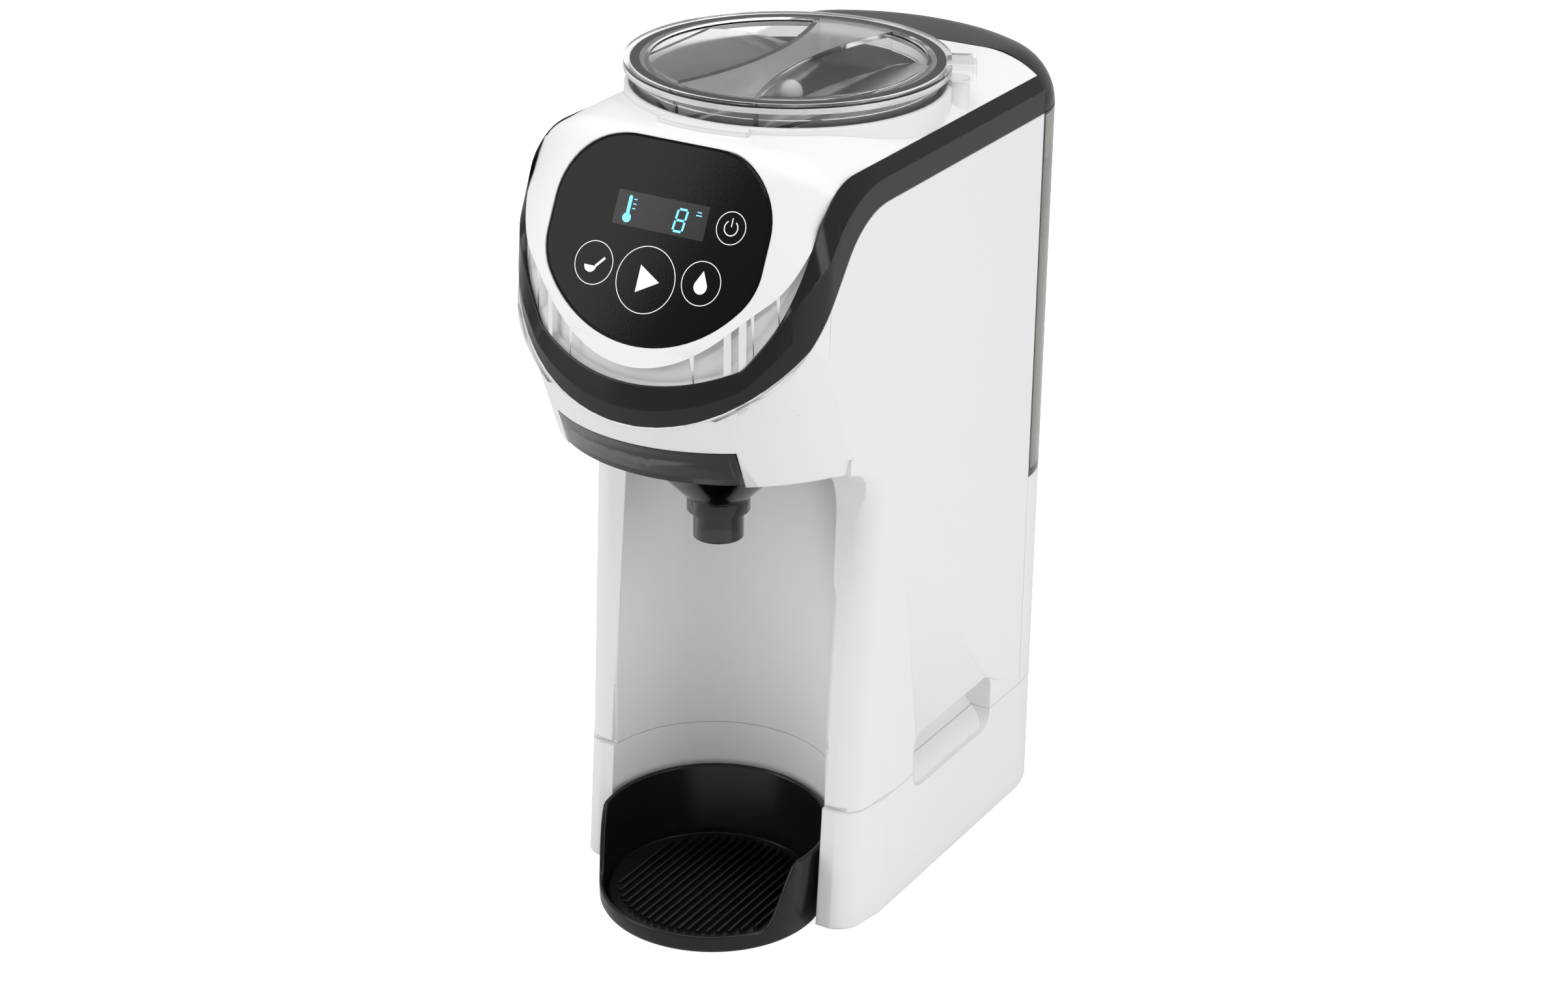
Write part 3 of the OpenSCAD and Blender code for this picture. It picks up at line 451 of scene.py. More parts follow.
def side_prism(path):
    """Solid on an outline of (y, z) points, wider than the machine."""
    width = HALF + 20
    return lofted([[(x, y, z) for y, z in path] for x in (-width, width)])


def face_prism(outline, c0, c1):
    """Solid on an outline of the sloping face."""
    return lofted([[on_face(a, b, c) for a, b in outline] for c in (c0, c1)])


def drum(x, y, r, z0, z1, steps=96):
    """Upright round solid."""
    return prism([(x + px, y + py) for px, py in circle(0, 0, r, steps)], z0, z1)


def as_mesh(solid, name):
    """A solid in millimetres as a mesh in metres; a mesh stays as it is."""
    if isinstance(solid, bpy.types.Mesh):
        return solid
    bmesh.ops.remove_doubles(solid, verts=solid.verts, dist=0.001)
    bmesh.ops.recalc_face_normals(solid, faces=solid.faces)
    bmesh.ops.scale(solid, vec=(MM, MM, MM), verts=solid.verts)
    mesh = bpy.data.meshes.new(name)
    solid.to_mesh(mesh)
    solid.free()
    return mesh


def placed(name, mesh):
    """A mesh as an object of the scene."""
    obj = bpy.data.objects.new(name, mesh)
    scene.collection.objects.link(obj)
    return obj


def piece(name, solid, looks, *stands_for, sharp=32.0, rides=None):
    """A finished piece, which rides with the first CAD node that it stands for."""
    mesh = as_mesh(solid, name)
    mesh.materials.clear()
    for look in looks:
        mesh.materials.append(look)
    for face in mesh.polygons:
        face.use_smooth = True
    mesh.set_sharp_from_angle(angle=math.radians(sharp))
    obj = placed(name, mesh)
    if stands_for:
        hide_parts(*stands_for)
        rides = body_with[stands_for[0]]
    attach(obj, rides)
    return obj


def merged_copy(node):
    """A CAD node's mesh as one skin, in metres."""
    bm = bmesh.new()
    bm.from_mesh(nodes[node].data)
    bmesh.ops.remove_doubles(bm, verts=bm.verts, dist=1e-6)
    mesh = bpy.data.meshes.new(node + "_skin")
    bm.to_mesh(mesh)
    bm.free()
    return mesh


def carve(name, base, *steps):
    """The base joined with, cut by or kept inside other solids, step by step."""
    block = placed(name + "_block", as_mesh(base, name + "_block"))
    tools = []
    for way, solid in steps:
        tool = placed(name + "_tool", as_mesh(solid, name + "_tool"))
        tools.append(tool)
        cut = block.modifiers.new("cut", "BOOLEAN")
        cut.operation = way
        cut.solver = "EXACT"
        cut.object = tool
    bpy.context.view_layer.update()
    carved = block.evaluated_get(bpy.context.evaluated_depsgraph_get())
    mesh = bpy.data.meshes.new_from_object(carved)
    mesh.name = name
    for obj in tools + [block]:
        bpy.data.objects.remove(obj)
    return mesh


def even_normals(obj):
    """Lets the large faces of a carved piece set its shading."""
    weigh = obj.modifiers.new("even_normals", "WEIGHTED_NORMAL")
    weigh.keep_sharp = True
    weigh.weight = 100


# ---------------------------------------------------------------- trim band and white head

PATH_END = 140.0

# the band's edges in side view, as (y, z) points that start a little in front of the machine

# the lower edge: up from its foot, round, and along under the deck
LOW_SLOPE = 1.27
LOW_TURN = (FRONT_Y + (BAND_LOW - BAND_FOOT) / LOW_SLOPE, BAND_LOW)
LOW_PATH = ([(FRONT_Y - 8, BAND_FOOT - 8 * LOW_SLOPE)]
            + corner_arc((FRONT_Y, BAND_FOOT), LOW_TURN, (0, BAND_LOW), r=38)
            + [(PATH_END, BAND_LOW)])

# the upper edge: gentle up to the kink, then steep, then along the deck
KINK = (FRONT_Y + 15, 270.0)
TOP_SLOPE = 2.5
TOP_TURN = (KINK[0] + (BAND_TOP - KINK[1]) / TOP_SLOPE, BAND_TOP)
TOP_PATH = ([(FRONT_Y - 9, 247.5), KINK]
            + corner_arc(KINK, TOP_TURN, (0, BAND_TOP), r=29)
            + [(PATH_END, BAND_TOP)])

# the crease between the band's upright wall and its facet
CREASE_Z = 333.0
CREASE_RUN = 73.5
CREASE_START = (-150.0, CREASE_Z - CREASE_RUN * LOW_SLOPE)
CREASE_TURN = (CREASE_START[0] + CREASE_RUN, CREASE_Z)
CREASE_PATH = ([CREASE_START]
               + corner_arc(CREASE_START, CREASE_TURN, (0, CREASE_Z), r=46)
               + [(PATH_END, CREASE_Z)])

# where the wall and the facet start to run together into one leaning face
JOIN_Y = FRONT_Y + 40
JOIN_RUN = 30.0

# the leaning chin under the band: a drum whose front line passes CHIN_Y, CHIN_Z
CHIN_LEAN = math.radians(23.1)
CHIN_R = 76.6
CHIN_Y = FRONT_Y + 5
CHIN_Z = BAY_TOP + 16.5
CHIN_WALL = 3.0

# the crown across the head: flat in the middle, then an arc up to a limit, then straight
CROWN_FLAT = 41.0
CROWN_REACH = 26.0
CROWN_LIMIT = 0.85
FACE_CROWN_R = 64.0
DECK_CROWN_R = 42.0
RIDGE_CROWN_R = 33.0
RIDGE_R = 14.0
RIDGE_EASE = 42.0


def chin_inset(x, y, nx, ny, z):
    """How far inside the plan's wall, which faces nx, ny, the leaning chin lies at that height."""
    for step in range(60):
        off = 0.1 * step
        px = x - nx * off
        py = y - ny * off
        along = (py - CHIN_Y) * math.cos(CHIN_LEAN) + (z - CHIN_Z) * math.sin(CHIN_LEAN)
        if along > CHIN_R or px * px + (along - CHIN_R) ** 2 <= CHIN_R ** 2:
            return off
    return CHIN_WALL


def band_section(x, y, nx, ny):
    """Section of the band where the plan passes x, y and faces nx, ny."""
    flush = 0.02
    lip = 0.6
    under_top = 0.3
    fullness = 0.35
    tongue = 2.0

    def point(off, z):
        return (x - nx * off, y - ny * off, z)

    top = height_at(TOP_PATH, y - ny * BAND_W)
    low = height_at(LOW_PATH, y)
    joined = smooth((JOIN_Y - y) / JOIN_RUN)
    crease_off = flush + (BAND_W - lip) * joined
    highest = top - under_top
    crease = min(height_at(CREASE_PATH, y), highest)
    crease += (highest - crease) * joined
    middle = (crease + low) / 2
    middle_off = max(chin_inset(x, y, nx, ny, middle), crease_off / 2 - fullness * joined)
    return [point(chin_inset(x, y, nx, ny, low), low), point(middle_off, middle), point(crease_off, crease),
            point(BAND_W, top), point(BAND_W, low + tongue), point(BAND_W, low)]


def trim_band():
    """Black band: a leaning face round the front that splits into a wall and a facet on the sides."""
    spacing = 3.0
    steps = 36
    count = int((TANK_FRONT - FRONT_Y - FRONT_REACH) / spacing)
    half = [((HALF, TANK_FRONT - spacing * i), (1.0, 0.0)) for i in range(count)]
    rim = front_half(0.0, steps)
    inner = front_half(1.0, steps)
    half += [(p, (p[0] - q[0], p[1] - q[1])) for p, q in zip(rim, inner)]
    stations = half + [((-p[0], p[1]), (-n[0], n[1])) for p, n in reversed(half[:-1])]
    band = piece("trim_band_skin", lofted([band_section(*p, *n) for p, n in stations]), [black_gloss],
                 "trim_band", sharp=14)
    bevel = band.modifiers.new("soft_edges", "BEVEL")
    bevel.width = 0.0004
    bevel.segments = 2
    bevel.limit_method = "ANGLE"
    bevel.angle_limit = math.radians(20)


def head_rows():
    """Middle line up the face, over the ridge and along the deck.

    Each row has its point and its outward direction in side view, its share of deck,
    and its way from the ridge.
    """
    lean = math.pi / 2 - FACE_TILT
    rise = (DECK_Z - FACE_Z) / math.cos(FACE_TILT)
    ridge = Vector((FACE_Y + rise * math.sin(FACE_TILT), DECK_Z))
    reach = RIDGE_R * math.tan(lean / 2)
    up = Vector((math.sin(FACE_TILT), math.cos(FACE_TILT)))
    centre = Vector((ridge.x + reach, DECK_Z - RIDGE_R))
    half_way = 8.0
    steps = 14
    face_places = [-122.0 + 5.0 * i for i in range(25)]
    deck_places = [2.0 + 6.0 * i for i in range(20)] + [180.0]
    rows = []
    for b in face_places:
        rows.append((ridge + up * (b - reach), Vector((-up.y, up.x)), 0.0, b - half_way))
    for i in range(steps + 1):
        t = math.pi - FACE_TILT - lean * i / steps
        outward = Vector((math.cos(t), math.sin(t)))
        rows.append((centre + outward * RIDGE_R, outward, i / steps, 2 * half_way * i / steps - half_way))
    for y in deck_places:
        rows.append((Vector((centre.x + y, DECK_Z)), Vector((0.0, 1.0)), 1.0, y + half_way))
    return rows


def crown_drop(across, r):
    """How far the crown has fallen at a distance outside its flat."""
    on_arc = min(across, CROWN_LIMIT * r)
    slope = CROWN_LIMIT / math.sqrt(1 - CROWN_LIMIT ** 2)
    return r - math.sqrt(r * r - on_arc * on_arc) + (across - on_arc) * slope


def head_form(sink):
    """Solid under the crowned face, ridge and deck, drawn in by sink."""
    floor_front = -150.0
    floor_length = 240.0
    floor_z = 120.0
    on_flat = [CROWN_FLAT * i / 3 for i in range(3)]
    on_crown = [CROWN_FLAT + CROWN_REACH * i / 18 for i in range(19)]
    right = on_flat + on_crown
    xs = [-x for x in reversed(right[1:])] + right
    rows = head_rows()
    loops = []
    for i, (middle, outward, deck_share, from_ridge) in enumerate(rows):
        near = smooth(1.0 - abs(from_ridge) / RIDGE_EASE)
        away_r = FACE_CROWN_R + (DECK_CROWN_R - FACE_CROWN_R) * deck_share
        r = away_r * (1 - near) + RIDGE_CROWN_R * near
        loop = []
        for x in xs:
            skin = middle - outward * crown_drop(max(0.0, abs(x) - CROWN_FLAT), r)
            loop.append((x, skin.x + sink, skin.y - sink))
        floor_y = floor_front + floor_length * i / (len(rows) - 1)
        loop += [(xs[-1], floor_y, floor_z), (xs[0], floor_y, floor_z)]
        loops.append(loop)
    return lofted(loops)


def lens_outline(grow):
    """Outline of the control lens on the face, clockwise from the top, made larger by grow."""
    steps = 14
    high_x = 18.5
    high_b = -1.0
    high_r = 30.0
    low_x = 22.5
    low_b = -14.0
    low_r = 26.0
    low_reach = 37.0
    nose_r = nose_radius(low_x, low_r, low_reach)
    turn = 90 - math.degrees(math.atan2(low_x, nose_r - low_reach))
    right = arc(high_x, high_b, high_r + grow, 90, 0, steps)
    right += arc(low_x, low_b, low_r + grow, 0, -turn, steps)
    right += arc(0, low_b - low_reach + nose_r, nose_r + grow, -turn, -90, steps)[1:]
    return mirrored(right)


def collar():
    """Ring round the container's well, with a softened upper edge."""
    profile = ((COLLAR_R, BAND_TOP), (COLLAR_R, COLLAR_TOP - 0.7), (COLLAR_R - 0.3, COLLAR_TOP - 0.2),
               (COLLAR_R - 0.8, COLLAR_TOP), (HOLE_R - 4, COLLAR_TOP))
    return lofted([[(x, y + WELL_Y, z) for x, y in circle(0, 0, r, 128)] for r, z in profile])


def collar_pad():
    """Low pad in front of the collar."""
    right = -72
    left = -105
    under_deck = 340
    lower = 0.6
    inside_r = 50
    outside_r = COLLAR_R + 4.6
    plan = arc(0, 0, outside_r, left, right, 16) + arc(0, 0, inside_r, right, left, 8)
    return prism([(x, y + WELL_Y) for x, y in plan], under_deck, COLLAR_TOP - lower)


def lug_stop():
    """Round stop beside the collar, at the lid's lug."""
    turn = math.radians(29)
    way = 68
    r = 5.0
    top = COLLAR_TOP + 2.5
    return drum(way * math.cos(turn), WELL_Y + way * math.sin(turn), r, BAND_TOP, top, 32)


def head_cover():
    """White face and deck in one moulding, with the collar round the container."""
    wall = 3.4
    band_lap = 3.0
    lens_gap = 0.25
    lens_depth = 2.5
    over = 420.0
    hole_foot = 300.0
    hole_head = 380.0
    side = [(y, z - band_lap) for y, z in TOP_PATH] + [(PATH_END, over), (TOP_PATH[0][0], over)]
    outside = prism(front_outline(BAND_W, TANK_FRONT + 5), UNDER_HEAD, OVER_HEAD)
    inside = prism(front_outline(BAND_W + wall, TANK_FRONT - 3), UNDER_HEAD, OVER_HEAD)
    trimmed = prism(front_outline(BAND_W, TANK_FRONT - 0.2), UNDER_HEAD, OVER_HEAD)
    hollow = carve("cavity", head_form(wall), ("INTERSECT", inside))
    well_hole = drum(0, WELL_Y, HOLE_R, hole_foot, hole_head, 128)
    lens_seat = face_prism(lens_outline(lens_gap), -lens_depth, 12)
    skin = carve("head_cover", head_form(0.0),
                 ("INTERSECT", outside), ("INTERSECT", side_prism(side)), ("DIFFERENCE", hollow),
                 ("UNION", collar()), ("UNION", collar_pad()), ("UNION", lug_stop()),
                 ("INTERSECT", trimmed), ("DIFFERENCE", well_hole), ("DIFFERENCE", lens_seat))
    piece("head_cover", skin, [white_shell], "top_cover", sharp=30)


# ---------------------------------------------------------------- white body


def chin_drum(sink, overrun=0.0):
    """Leaning round chin that the head narrows to under the band."""
    below = 60.0
    above = 120.0
    loops = []
    for h in (-below - overrun, above + overrun):
        loops.append([(x, CHIN_Y + y * math.cos(CHIN_LEAN) - h * math.sin(CHIN_LEAN),
                       CHIN_Z + y * math.sin(CHIN_LEAN) + h * math.cos(CHIN_LEAN))
                      for x, y in circle(0, CHIN_R, CHIN_R - sink, 160)])
    return lofted(loops)


def bay_opening():
    """Front opening of the bottle bay between the leaning legs, in side view."""
    floor_z = -1.0
    front_y = FRONT_Y - 20
    foot = (LEG_FOOT_Y, floor_z)
    head = (LEG_FOOT_Y + LEG_LEAN * BAY_TOP, BAY_TOP)
    return ([(front_y, floor_z), foot]
            + corner_arc(foot, head, (FRONT_Y, BAY_TOP), r=BAY_CORNER)
            + [(front_y, BAY_TOP)])


def leg_fill(side):
    """Solid that fills a leg's front corner up to the bay, for the rounding to cut."""
    inner = side * (HALF - 17)
    outer = side * (HALF - 0.005)
    front = -76.0
    back = -22.0
    foot_z = 58.0
    plan = [(inner, front), (outer, front), (outer, back), (inner, back)]
    block = prism(plan, foot_z, BAY_TOP + 6)
    return carve("leg_fill", block, ("DIFFERENCE", side_prism(bay_opening())))


def leg_rounding(side):
    """What rounds a leg's front corner: up the leg and round the bay's top corner, where it fades."""
    r = 12.0
    turns = 16
    ahead_near = 10.0
    ahead_far = 64.0
    outside = 28.0
    leg_length = 200.0
    lean = math.atan(LEG_LEAN)
    draft = math.tan(math.radians(1))
    into = Vector((math.cos(lean), -math.sin(lean)))
    down = Vector((-math.sin(lean), -math.cos(lean)))
    turn_z = BAY_TOP - BAY_CORNER
    edge_y = LEG_FOOT_Y + (turn_z - BAY_CORNER * math.sin(lean)) * math.tan(lean)
    turn_y = edge_y - BAY_CORNER * math.cos(lean)
    centre = Vector((turn_y, turn_z)) + into * r
    section = [(ahead_near, 0.0)] + [(BAY_CORNER + x, y) for x, y in arc(0, 0, r, 180, 90, 12)]
    section += [(ahead_far, r + 4.0), (ahead_far, outside), (ahead_near, outside)]
    stations = [(centre + down * leg_length, into), (centre, into)]
    for i in range(1, turns + 1):
        t = -lean + (math.pi / 2 + lean) * i / turns
        stations.append((centre, Vector((math.cos(t), math.sin(t)))))
    loops = []
    for at, way in stations:
        wall_x = HALF - r + 0.1 - draft * (centre.y - at.y)
        loops.append([(side * (wall_x + out), *(at + way * ahead)) for ahead, out in section])
    return lofted(loops)


def body_shell():
    """White body: its chin leans in under the band and the legs' rounding runs round the bay."""
    gap = 0.3
    cut_z = 249.2
    start_y = FRONT_Y + (cut_z - BAND_FOOT) / LOW_SLOPE
    end_y = -84.0
    under = ([(start_y, cut_z)] + [(y, z - gap) for y, z in LOW_PATH[1:] if y < end_y]
             + [(end_y, height_at(LOW_PATH, end_y) - gap), (end_y, cut_z)])
    zone = carve("chin_zone", side_prism(under), ("DIFFERENCE", chin_drum(0.0)))
    liner = carve("chin_liner", chin_drum(0.0), ("DIFFERENCE", chin_drum(CHIN_WALL, overrun=20.0)),
                  ("INTERSECT", prism(front_outline(), 200, 330)), ("INTERSECT", side_prism(under)))
    steps = [("DIFFERENCE", zone), ("UNION", liner)]
    for side in (-1, 1):
        steps += [("UNION", leg_fill(side)), ("DIFFERENCE", leg_rounding(side))]
    skin = carve("body_shell", merged_copy("body_shell"), *steps)
    even_normals(piece("body_shell_skin", skin, [white_shell], "body_shell", sharp=20))


# ---------------------------------------------------------------- control lens and display


def control_lens():
    """Gloss black lens with a narrow pale bevel round it."""
    # from the back to the face: how far each ring is drawn out, and its height over the slope
    rings = ((0.0, -2.5), (0.0, -0.9), (-0.25, -0.35), (-1.2, 0.0))
    loops = [[on_face(a, b, c) for a, b in lens_outline(grow)] for grow, c in rings]
    bm = bmesh.new()
    loft(bm, loops, cap_end=False, slot=1)
    bm.faces.new([bm.verts.new(point) for point in loops[-1]]).material_index = 0
    piece("control_lens_skin", bm, [lens_black, lens_rim], "control_lens", sharp=12)


def mark(name, shapes, look, c=0.06, thick=0.05):
    """Printed marks on the lens: each shape is an outline of (a, b) points, or an (outer, inner) ring."""
    bm = bmesh.new()
    for shape in shapes:
        if isinstance(shape, tuple):
            outer, inner = shape
            lines = ((outer, c), (outer, c + thick), (inner, c + thick), (inner, c), (outer, c))
            loops = [[on_face(a, b, h) for a, b in line] for line, h in lines]
            loft(bm, loops, cap_start=False, cap_end=False)
        else:
            loft(bm, [[on_face(a, b, h) for a, b in shape] for h in (c, c + thick)])
    piece(name, bm, [look], rides="housing")


def ring_mark(a, b, r, width):
    """Whole ring."""
    return circle(a, b, r + width / 2, 64), circle(a, b, r - width / 2, 64)


def open_ring_mark(a, b, r, width, start, stop):
    """Ring with a gap."""
    return arc(a, b, r + width / 2, start, stop, 40) + arc(a, b, r - width / 2, stop, start, 40)


def bar_mark(a, b, width, height):
    """Bar about its middle."""
    return [(a - width / 2, b - height / 2), (a + width / 2, b - height / 2),
            (a + width / 2, b + height / 2), (a - width / 2, b + height / 2)]


def lens_marks():
    """Rings of the four touch areas, with plain icons: a power sign, an arrow, a drop and a scoop."""
    line = 0.32
    sign_line = 0.42
    small_r = 8.5
    start_r = 13.0
    power_r = 6.3
    power_a = 31.4
    power_b = 0.5
    rings = [ring_mark(-24.3, -23.2, small_r, line), ring_mark(24.2, -22.3, small_r, line),
             ring_mark(0, -25.5, start_r, line), ring_mark(power_a, power_b, power_r, line)]
    power_sign = [open_ring_mark(power_a, power_b, 2.9, sign_line, 125, 415),
                  bar_mark(power_a, power_b + 2.2, sign_line, 3.4)]
    arrow = [(-3.4, -30.9), (6.2, -25.5), (-3.4, -20.1)]
    drop = arc(24.2, -23.6, 2.9, -215, 35, 20) + [(24.2, -17.4)]
    bowl = arc(-25.6, -24.4, 2.7, 180, 360, 16)
    handle = [(-23.6, -24.0), (-22.9, -24.7), (-19.4, -20.9), (-20.1, -20.2)]
    mark("touch_marks", rings + power_sign + [arrow, drop, bowl, handle], pale_print)


def eight(a, b, w, h, t):
    """The seven bars of a digit, all lit, leaning a little."""
    lean = 0.1
    upright = h / 2 - t
    bars = [(0, h / 2, w - t, t), (0, 0, w - t, t), (0, -h / 2, w - t, t),
            (-w / 2, h / 4, t, upright), (w / 2, h / 4, t, upright),
            (-w / 2, -h / 4, t, upright), (w / 2, -h / 4, t, upright)]
    return [[(a + p + q * lean, b + q) for p, q in bar_mark(*bar)] for bar in bars]


def display():
    """Lit window behind the lens: a thermometer, one digit and a small level mark."""
    window_w = 41.2
    window_h = 13.4
    mark("display_window", [bar_mark(0, 0, window_w, window_h)], display_ground, c=0.02, thick=0.03)
    bulb_a = -14.6
    bulb_b = -3.6
    stem_r = 0.75
    stem_top = 4.4
    bulb = circle(bulb_a, bulb_b, 1.9, 24)
    stem = [(bulb_a - stem_r, bulb_b), (bulb_a + stem_r, bulb_b), (bulb_a + stem_r, stem_top)]
    stem += arc(bulb_a, stem_top, stem_r, 0, 180, 10)
    ticks = [bar_mark(bulb_a + 2.3, b, 1.5, 0.35) for b in (0.2, 2.0, 3.8)]
    level = [bar_mark(16.6, 2.6, 2.6, 0.4), bar_mark(16.6, 3.8, 1.8, 0.4)]
    digit = eight(9.0, -0.6, w=4.2, h=8.6, t=0.85)
    mark("display_digits", digit + [bulb, stem] + ticks + level, display_blue, c=0.09)


# ---------------------------------------------------------------- tank lid


def tank_lid():
    """Gloss black cap with a wide rounding round the rear."""
    edge = 25.0
    wall = 2.2
    gap = 0.3
    low = BAND_LOW + gap
    steps = 12

    def skirt(loop):
        return [(x, y, low) for x, y, z in loop]

    outer = []
    inner = []
    for i in range(steps + 1):
        t = math.radians(90 * i / steps)
        fall = 1 - math.cos(t)
        z = DECK_Z - edge + edge * math.sin(t)
        z_in = DECK_Z - edge + (edge - wall) * math.sin(t)
        outer.append([(x, y, z) for x, y in rear_outline(edge * fall)])
        inner_plan = rear_outline(wall + (edge - wall) * fall, TANK_FRONT + TANK_GAP + wall)
        inner.append([(x, y, z_in) for x, y in inner_plan])
    loops = inner[::-1] + [skirt(inner[0]), skirt(outer[0])] + outer
    piece("tank_lid_skin", lofted(loops), [black_gloss], "tank_lid", sharp=35)


# ---------------------------------------------------------------- funnel drawer


def funnel_drawer():
    """Smoky drawer with the wide cone that hangs under it."""
    wall = 1.8
    # the cone's outside from the spout up, as (radius, height)
    outer = [(12.6, 184.0), (13.2, 187.0), (38.8, 213.0), (38.8, 219.5)]
    inner = [(r - wall, z + 0.6) for r, z in reversed(outer)]
    cone = bmesh.new()
    loops = [[(x, y, z) for x, y in circle(0, SPOUT_Y, r, 96)] for r, z in outer + inner + outer[:1]]
    loft(cone, loops, cap_start=False, cap_end=False)
    skin = carve("funnel_drawer", merged_copy("funnel_drawer"), ("UNION", cone))
    even_normals(piece("funnel_drawer_skin", skin, [smoke_funnel], "funnel_drawer", sharp=30))


# ---------------------------------------------------------------- drip tray and grille

TRAY_R = 50.0
TRAY_TOP = 36.0
TRAY_LOW = 8.0


def tray_rim_height(y):
    """Height of the tray's rim: low in front, an S up each side, high at the back."""
    start = BAY_Y - 27.0
    stop = BAY_Y - 10.0
    rise = 0.02 * max(0.0, y - stop)
    return TRAY_LOW + (TRAY_TOP - TRAY_LOW) * smooth((y - start) / (stop - start)) + rise


def drip_tray():
    """Gloss black cup, high behind and low in front, with a rolled rim."""
    steps = 160
    wall = 2.1
    roll = 1.1
    flare = 1.5
    flare_height = 43.0
    # each ring's inset, its height, and 1 where that height counts from the rim
    rings = [(1.6, 0.0, 0), (0.5, 0.5, 0), (0.0, 1.6, 0), (0.0, -roll, 1)]
    for i in range(1, 6):
        t = math.pi * i / 6
        rings.append((wall / 2 - wall / 2 * math.cos(t), roll * math.sin(t) - roll, 1))
    rings += [(wall, -roll, 1), (wall, 4.2, 0), (wall + 0.6, 2.6, 0), (wall + 2.0, 2.0, 0)]
    loops = []
    for inset, height, at_rim in rings:
        loop = []
        for i in range(steps):
            t = 2 * math.pi * i / steps
            z = height + at_rim * tray_rim_height(BAY_Y + TRAY_R * math.sin(t))
            r = TRAY_R - flare + flare * z / flare_height - inset
            loop.append((r * math.cos(t), BAY_Y + r * math.sin(t), z))
        loops.append(loop)
    piece("drip_tray_skin", lofted(loops), [black_tray], "drip_tray", sharp=50)


def drip_grille():
    """Lift-out grille: round-topped ribs on a slotted plate."""
    grille_r = 44.4
    pitch = 3.8
    foot_z = 2.4
    plate_t = 1.8
    rib_z = foot_z + plate_t - 0.1
    slot_half = 0.7
    slot_margin = 7.0
    rib_half = 0.9
    rib_side = 1.2
    rib_margin = 4.0
    count = int(0.82 * grille_r / pitch)
    plate = drum(0, BAY_Y, grille_r, foot_z, foot_z + plate_t)
    slots = bmesh.new()
    for i in range(-count, count):
        x = (i + 0.5) * pitch
        reach = math.sqrt((grille_r - slot_margin) ** 2 - x * x)
        plan = [(x - slot_half, BAY_Y - reach), (x + slot_half, BAY_Y - reach),
                (x + slot_half, BAY_Y + reach), (x - slot_half, BAY_Y + reach)]
        loft(slots, [[(px, py, z) for px, py in plan] for z in (1.0, 6.0)])
    ribs = bmesh.new()
    profile = ([(rib_half, -0.2), (rib_half, rib_side)] + arc(0, rib_side, rib_half, 20, 160, 5)
               + [(-rib_half, rib_side), (-rib_half, -0.2)])
    for i in range(-count, count + 1):
        x = i * pitch
        reach = math.sqrt((grille_r - rib_margin) ** 2 - x * x)
        loft(ribs, [[(x + px, BAY_Y + y, rib_z + pz) for px, pz in profile] for y in (-reach, reach)])
    skin = carve("drip_grille", plate, ("DIFFERENCE", slots), ("UNION", ribs))
    piece("drip_grille_skin", skin, [black_tray], "drip_grille", sharp=40)


# ---------------------------------------------------------------- making the pieces

trim_band()
head_cover()
body_shell()
control_lens()
lens_marks()
display()
tank_lid()
funnel_drawer()
drip_tray()
drip_grille()

# ---------------------------------------------------------------- studio, in metres

WHITE = (1.0, 1.0, 1.0)


def portrait_camera():
    """Camera at the portrait's angle."""
    photo_width_pixels = 2408
    focal_pixels = 5000
    sensor = 36.0
    lens_at = Vector((0.64014, -1.09426, 0.72827))
    aim = Vector((0.00318, -0.01374, 0.170))
    roll = math.radians(0.66)
    back = (lens_at - aim).normalized()
    right = (-back).cross(Vector((0, 0, 1))).normalized()
    up = right.cross(-back)
    across = right * math.cos(roll) + up * math.sin(roll)
    over = up * math.cos(roll) - right * math.sin(roll)
    camera = bpy.data.cameras.new("camera")
    camera.sensor_fit = "HORIZONTAL"
    camera.sensor_width = sensor
    camera.lens = sensor * focal_pixels / photo_width_pixels
    camera.clip_start = 0.05
    camera.clip_end = 20.0
    eye = placed("camera", camera)
    eye.matrix_world = Matrix.Translation(lens_at) @ Matrix((across, over, back)).transposed().to_4x4()
    scene.camera = eye


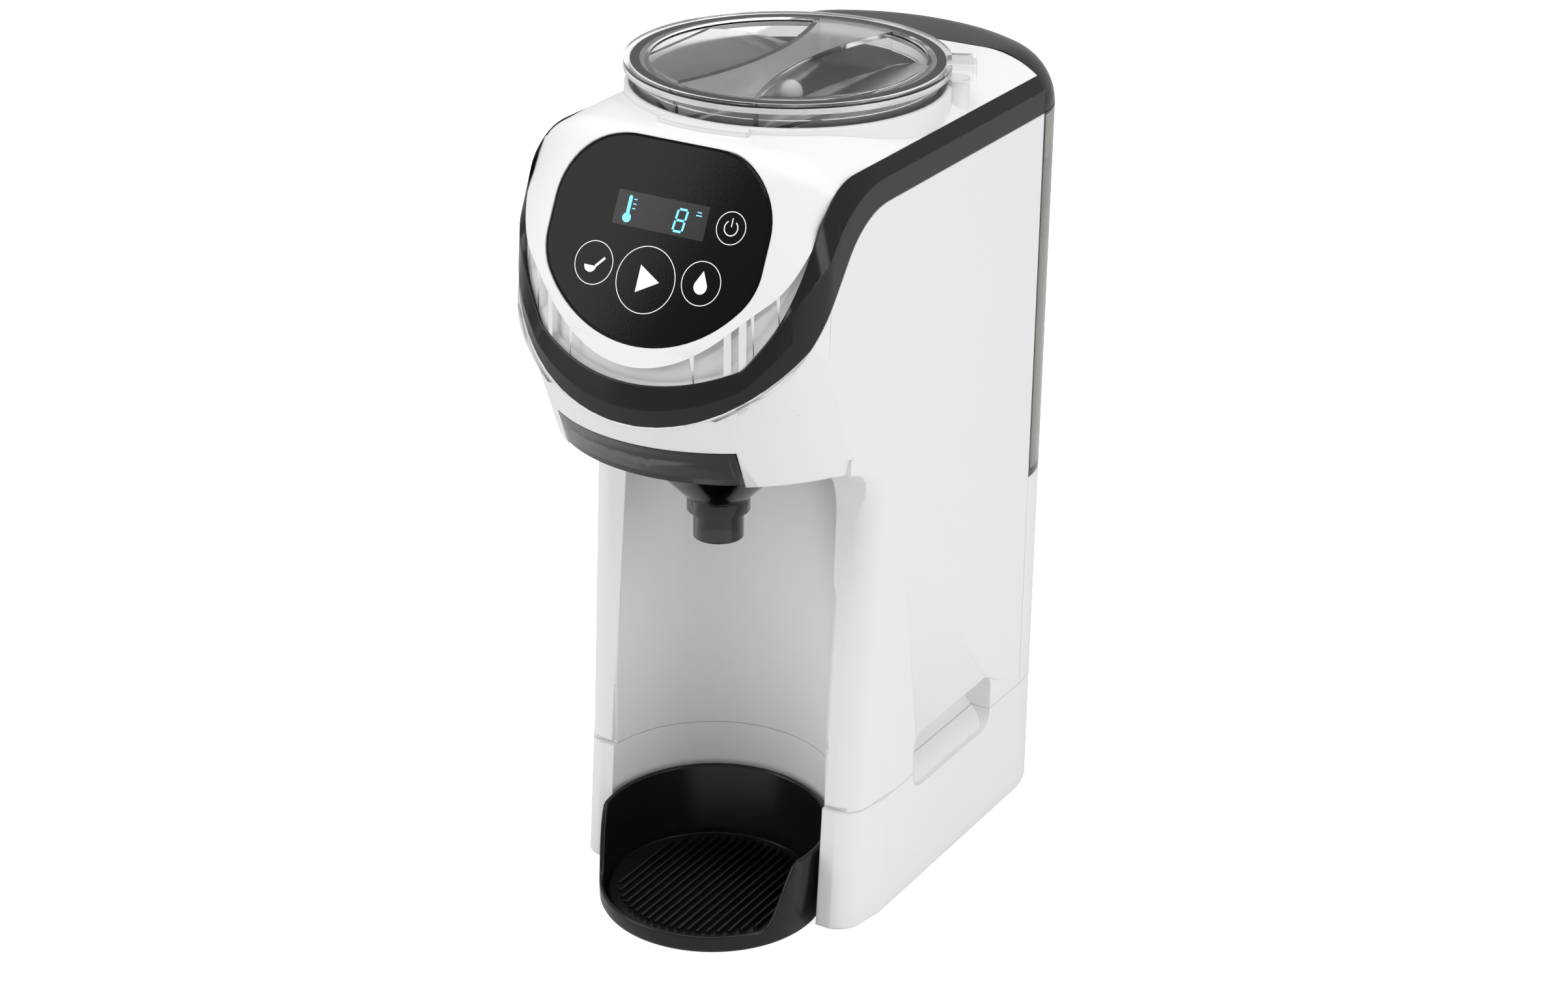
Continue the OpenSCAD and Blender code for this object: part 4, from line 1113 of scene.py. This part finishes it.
def soft_box(name, at, width, height, power):
    """Lamp that faces the machine's middle."""
    lamp = bpy.data.lights.new(name, "AREA")
    lamp.shape = "RECTANGLE"
    lamp.size = width
    lamp.size_y = height
    lamp.energy = power
    stand = placed(name, lamp)
    stand.location = at
    stand.rotation_euler = (Vector((0, 0, 0.2)) - Vector(at)).to_track_quat("-Z", "Y").to_euler()


def white_surround():
    """World that is white to the camera and gives soft light."""
    look = Look("surround", bpy.data.worlds, "ShaderNodeOutputWorld")
    by_camera = look.node("ShaderNodeLightPath", {}, {}, "Is Camera Ray")
    through_glass = look.node("ShaderNodeLightPath", {}, {}, "Is Transmission Ray")
    seen = look.node("ShaderNodeMath", {"operation": "MAXIMUM"}, {0: by_camera, 1: through_glass})
    room = look.node("ShaderNodeBackground", {}, {"Color": WHITE, "Strength": 0.48})
    paper = look.node("ShaderNodeBackground", {}, {"Color": WHITE, "Strength": 1.0})
    scene.world = look.show(look.node("ShaderNodeMixShader", {}, {0: seen, 1: room, 2: paper}))


def paper_floor():
    """Pale floor that takes the shadow."""
    bm = bmesh.new()
    bmesh.ops.create_grid(bm, x_segments=1, y_segments=1, size=6.0)
    mesh = bpy.data.meshes.new("floor")
    bm.to_mesh(mesh)
    bm.free()
    look = Look("paper_floor")
    tone = look.mix(look.noise(6.0), (0.86, 0.86, 0.86), (0.88, 0.88, 0.88))
    paper = look.node("ShaderNodeBsdfDiffuse", {}, {"Color": tone})
    by_camera = look.node("ShaderNodeLightPath", {}, {}, "Is Camera Ray")
    through_glass = look.node("ShaderNodeLightPath", {}, {}, "Is Transmission Ray")
    seen = (by_camera + through_glass).clip()
    glow = look.node("ShaderNodeEmission", {}, {"Color": WHITE, "Strength": seen * 0.78})
    mesh.materials.append(look.show(look.node("ShaderNodeAddShader", {}, {0: paper, 1: glow})))
    placed("floor", mesh)


portrait_camera()
soft_box("overhead_box", (0.1, -0.1, 1.5), width=1.3, height=1.3, power=11.0)
soft_box("left_box", (-1.2, -1.1, 0.9), width=0.9, height=1.4, power=9.5)
soft_box("right_box", (1.5, -0.2, 0.75), width=0.8, height=1.3, power=8.0)
white_surround()
paper_floor()
